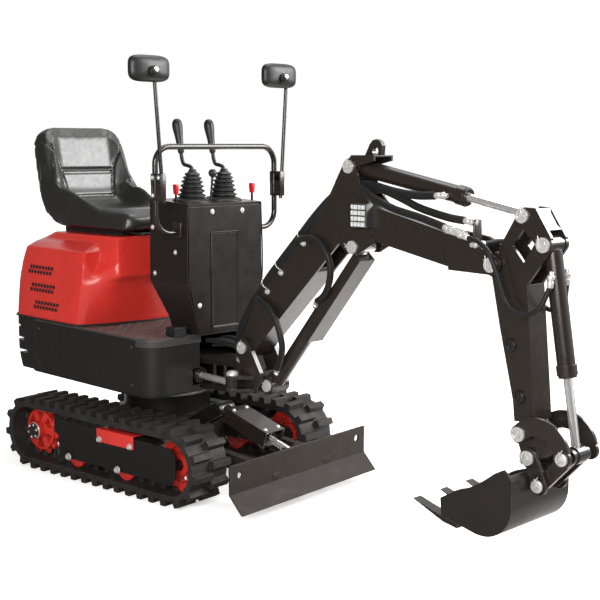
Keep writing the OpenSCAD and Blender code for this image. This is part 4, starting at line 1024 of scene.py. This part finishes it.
def hose(name, points, radius, body, other=None, span=None, free=False):
    """A hose along its points rides on one body, or bends between two; a free one hangs in a loop."""
    tube, route = bent_bar(name, points, radius, 5)
    if free:
        length = sum((b - a).length for a, b in zip(route, route[1:]))
        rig.cord(tube, exit=route[0], length=length, diameter=2 * radius * mm, far_end="object",
                stiffness="stiff", lay="loose", path=route)
    if other is None:
        fitted(tube, body, hose_black, "rubber")
    else:
        bpy.ops.object.shade_smooth()
        tube.data.materials.append(hose_black)
        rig.slot(tube, "rubber")
        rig.blend(tube, body, other, at(*span[0]), at(*span[1]))


main_bundle = [(700, -36, 888), (742, -40, 936), (805, -40, 999), (907, -40, 1099), (1000, -38, 1192),
               (1068, -20, 1262), (1130, 0, 1306), (1180, 6, 1318)]
foot_bundle = [(534, -20, 592), (536, -26, 640), (556, -32, 700), (596, -34, 766), (640, -36, 828),
               (704, -36, 892)]
base_loop = [(676, -60, 846), (716, -72, 838), (780, -74, 806), (821, -72, 730), (831, -66, 659),
             (806, -56, 597), (780, -44, 566)]
rod_loop = [(913, -60, 1096), (962, -70, 1110), (1018, -74, 1108), (1066, -73, 1080), (1096, -70, 1030),
            (1098, -67, 974), (1078, -62, 922), (1044, -54, 886), (1008, -46, 866)]
arm_line = [(1176, 6, 1316), (1240, -10, 1322), (1300, -30, 1316), (1400, -42, 1300), (1500, -44, 1290),
            (1580, -42, 1292)]
near_line = [(1180, -10, 1314), (1240, -40, 1310), (1300, -62, 1282), (1352, -68, 1262), (1422, -68, 1238),
             (1529, -68, 1216), (1600, -68, 1198), (1640, -68, 1187)]
far_line = [(1180, 10, 1314), (1260, -14, 1304), (1340, -36, 1302), (1428, -46, 1278), (1520, -48, 1246),
            (1640, -50, 1220), (1712, -46, 1211)]
near_loop = [(1752, -76, 1156), (1800, -84, 1146), (1848, -92, 1114), (1880, -92, 1056), (1901, -88, 1000),
             (1927, -84, 948), (1982, -80, 918), (2037, -70, 942), (2062, -50, 1012)]
far_loop = [(2062, 50, 1012), (2037, 70, 942), (1982, 80, 918), (1927, 84, 948), (1903, 88, 1000),
            (1884, 90, 1056), (1864, 88, 1108), (1836, 62, 1136), (1806, 20, 1142), (1788, -34, 1136)]
house_lines = [[(384, -84, 640), (430, -82, 646), (480, -66, 650), (522, -44, 640), (540, -30, 612)],
               [(384, -50, 618), (430, -52, 626), (474, -46, 630), (512, -32, 622), (536, -22, 598)],
               [(384, 0, 640), (430, -6, 650), (480, -10, 652), (520, -14, 634), (538, -14, 606)]]
hose("main_hose_bundle", main_bundle, 24, "boom")
hose("foot_hose_bundle", foot_bundle, 23, "swing_bracket", "boom", ((540, -30, 640), (650, -36, 830)))
hose("boom_base_hose", base_loop, 13, "boom_cyl_rod", "boom_cyl_barrel",
     ((760, -70, 815), (810, -60, 610)), free=True)
hose("boom_rod_hose", rod_loop, 13, "boom_cyl_rod", "boom_cyl_barrel",
     ((1080, -70, 1090), (1040, -60, 880)), free=True)
hose("arm_rod_hose", arm_line, 15, "boom", "arm_cyl_barrel", ((1190, 0, 1318), (1320, -34, 1314)))
hose("near_bucket_hose", near_line, 14, "boom")
hose("far_bucket_hose", far_line, 14, "boom")
for number, line in enumerate(house_lines):
    hose("house_hose_%d" % (number + 1), line, 9, "upper", "swing_bracket",
         ((420, -60, 640), (530, -30, 620)))
hose("near_bucket_loop", near_loop, 8.5, "boom", "arm", ((1800, -84, 1146), (1930, -84, 946)), free=True)
hose("far_bucket_loop", far_loop, 8.5, "boom", "arm", ((1868, 66, 1130), (1930, 82, 950)), free=True)

ferrule_steps = [(11, 2), (11, 20), (9, 22), (9, 26), (13, 27), (13, 40), (8, 42), (8, 54)]
end_lists = {"boom": [((1640, -68, 1187), (1, 0, -0.28)), ((1712, -46, 1211), (1, 0, -0.11)),
                      ((1752, -76, 1156), (-1, 0, 0.25)), ((1788, -34, 1136), (-0.35, -0.93, -0.05))],
             "arm": [((2062, -50, 1010), (0.05, 0.1, 1)), ((2062, 50, 1012), (0.05, -0.1, 1))],
             "arm_cyl_barrel": [((1580, -42, 1292), (1, 0.05, 0.02))],
             "boom_cyl_barrel": [((1008, -46, 866), (-0.75, 0.5, -0.6)),
                                 ((780, -44, 566), (-0.6, 0.5, -0.6))]}
for body, ends in end_lists.items():
    ferrule = grow("hose_end", 10, ferrule_steps, 12)
    softened(ferrule, 0.8, 2)
    spots = [facing(at(*point), way) for point, way in ends]
    fitted(set_out(ferrule, spots, "hose_ends_" + body), body, zinced, "bright_steel")

tee = block("hose_tee_plate", (1676, -62, 1098), (1702, -55.2, 1176))
softened(tee, 2, 2)
tee_top = block("hose_tee_bar", (1650, -76, 1160), (1740, -62, 1184))
softened(tee_top, 4, 3)
tee_middle = Matrix.Translation(at(1690, 0, 1170))
tee_top.matrix_world = tee_middle @ Matrix.Rotation(math.radians(14), 4, "Y") @ tee_middle.inverted()
fitted(joined("hose_tee", tee, tee_top), "boom", zinced, "bright_steel")
bulkhead_top = 1218
bulkhead = block("hose_bulkhead", (1756, -62, 1108), (1764, -8, bulkhead_top))
choose(bulkhead, lambda middle, normal: normal.z > 0.5)
bpy.ops.transform.resize(value=(1, 0.7, 1), center_override=at(1760, -41, bulkhead_top))
softened(bulkhead, 3, 3)
fitted(bulkhead, "boom", boom_paint, "black_paint")

clamp_ring = fresh("torus", "hose_clamp", major_radius=25.5 * mm, minor_radius=2.6 * mm,
                   major_segments=32, minor_segments=8)
clamp_line = ((716, 906), (795, 989), (922, 1114))
clamp_spots = [facing(at(x, -39, z), (0.7, 0, 0.7)) for x, z in clamp_line]
fitted(set_out(clamp_ring, clamp_spots, "hose_clamps"), "boom", zinced, "bright_steel")
spots = [facing(at(x + 22, -57, z - 26), (0, -1, 0)) for x, z in clamp_line]
fitted(set_out(hex_bolt(17), spots, "hose_clamp_bolts"), "boom", zinced, "bright_steel")

# Bucket and teeth: bent and welded plate with flat teeth on its lip, pinned to the arm and the link.
# It is painted brown-black like the boom, and already scraped along the edges.
bucket_paint = sprayed_paint("bucket_paint", (0.014, 0.011, 0.009), 0.33, (0.18, 0.16, 0.14),
                             0.05, 0.1, 0.28)
dress(bucket_paint, "bucket", "bucket_teeth")

# Studio: a pale floor that runs off into a white background, and three large soft lamps, at the front,
# at the right side and overhead. Polished metal mirrors a darker room to the machine's right.
floor = fresh("plane", "studio_floor", size=60.0, location=(0.0, 0.0, -0.001))
floor_look, floor_tree, floor_shader, floor_place = new_finish("studio_floor_white", Roughness=0.9)
rays = wire(floor_tree, "ShaderNodeLightPath")
base = mixed(floor_tree, rays.outputs["Is Glossy Ray"], (0.86, 0.86, 0.86, 1), (0.22, 0.21, 0.20, 1))
floor_tree.links.new(base, floor_shader.inputs["Base Color"])
away = wire(floor_tree, "ShaderNodeVectorMath", {0: floor_place}, operation="LENGTH").outputs["Value"]
sideways = wire(floor_tree, "ShaderNodeSeparateXYZ", {0: floor_place}).outputs["Y"]
direct = ramped(floor_tree, away, 1.6, 4.5, 0.5, 1.05)
mirrored = reckoned(floor_tree, "MULTIPLY", ramped(floor_tree, sideways, 0.0, 0.6, 0.0, 2.2),
                    ramped(floor_tree, away, 1.4, 2.6, 1.0, 0.0))
strength = wire(floor_tree, "ShaderNodeMix", {0: rays.outputs["Is Glossy Ray"], 2: direct, 3: mirrored},
                data_type="FLOAT").outputs[0]
glow = wire(floor_tree, "ShaderNodeEmission", {"Color": (1, 0.97, 0.94, 1), "Strength": strength})
shiny = reckoned(floor_tree, "MAXIMUM", rays.outputs["Is Glossy Ray"], rays.outputs["Is Transmission Ray"])
seen = reckoned(floor_tree, "MAXIMUM", rays.outputs["Is Camera Ray"], shiny)
lit_floor = wire(floor_tree, "ShaderNodeAddShader", {0: floor_shader.outputs[0], 1: glow.outputs[0]})
pick = wire(floor_tree, "ShaderNodeMixShader", {0: seen, 1: floor_shader.outputs[0], 2: lit_floor.outputs[0]})
floor_tree.links.new(pick.outputs[0], floor_tree.nodes["Material Output"].inputs["Surface"])
floor.data.materials.append(floor_look)
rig.stage(floor)

world = bpy.data.worlds.new("studio_world")
bpy.context.scene.world = world
world.use_nodes = True
sky = world.node_tree
path = wire(sky, "ShaderNodeLightPath")
toward = wire(sky, "ShaderNodeSeparateXYZ", {0: wire(sky, "ShaderNodeTexCoord").outputs["Generated"]})
mirrored = ramped(sky, toward.outputs["Y"], -0.3, 0.6, 0.12, 1.1)
lit = ramped(sky, toward.outputs["Z"], 0.1, 0.9, 0.7, 0.25)
shiny = reckoned(sky, "MAXIMUM", path.outputs["Is Glossy Ray"], path.outputs["Is Transmission Ray"])
level = wire(sky, "ShaderNodeMix", {0: shiny, 2: lit, 3: mirrored}, data_type="FLOAT").outputs[0]
level = wire(sky, "ShaderNodeMix", {0: path.outputs["Is Camera Ray"], 2: level, 3: 1.0},
             data_type="FLOAT").outputs[0]
sky.nodes["Background"].inputs["Color"].default_value = (1, 1, 1, 1)
sky.links.new(level, sky.nodes["Background"].inputs["Strength"])


def soft_lamp(name, place, aim, size, power):
    lamp = bpy.data.lights.new(name, "AREA")
    lamp.shape = "RECTANGLE"
    lamp.size, lamp.size_y = size
    lamp.energy = power
    holder = bpy.data.objects.new(name, lamp)
    bpy.context.scene.collection.objects.link(holder)
    holder.location = place
    holder.rotation_euler = (Vector(aim) - Vector(place)).to_track_quat("-Z", "Y").to_euler()


soft_lamp("front_softbox", (3.0, 2.7, 2.85), (-0.4, 0.0, 1.1), (2.6, 2.2), 310)
soft_lamp("side_softbox", (3.2, -4.0, 2.2), (0.2, 0.0, 0.8), (3.0, 2.0), 240)
soft_lamp("top_softbox", (0.4, 0.9, 5.2), (0.8, 0.0, 0.8), (2.4, 2.4), 80)

# Camera at the photograph's place, on the right front of the machine at chest height.
# Its fall below the level and its heading are in degrees.
lens = bpy.data.cameras.new("photo_camera")
lens.lens = 69.24
lens.sensor_width = 36.0
eye = bpy.data.objects.new("photo_camera", lens)
bpy.context.scene.collection.objects.link(eye)
camera_fall, camera_heading = 7.653, 45.438
eye.location = (4.1233, -3.2078, 1.4668)
eye.rotation_euler = (math.radians(90 - camera_fall), 0.0, math.radians(camera_heading))
bpy.context.scene.camera = eye
bpy.context.scene.view_settings.view_transform = "Standard"

with open("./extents.json", "w") as note:
    json.dump({"cad": [list(v) for v in cad_box], "visual": [list(v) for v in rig.bounds()]}, note)
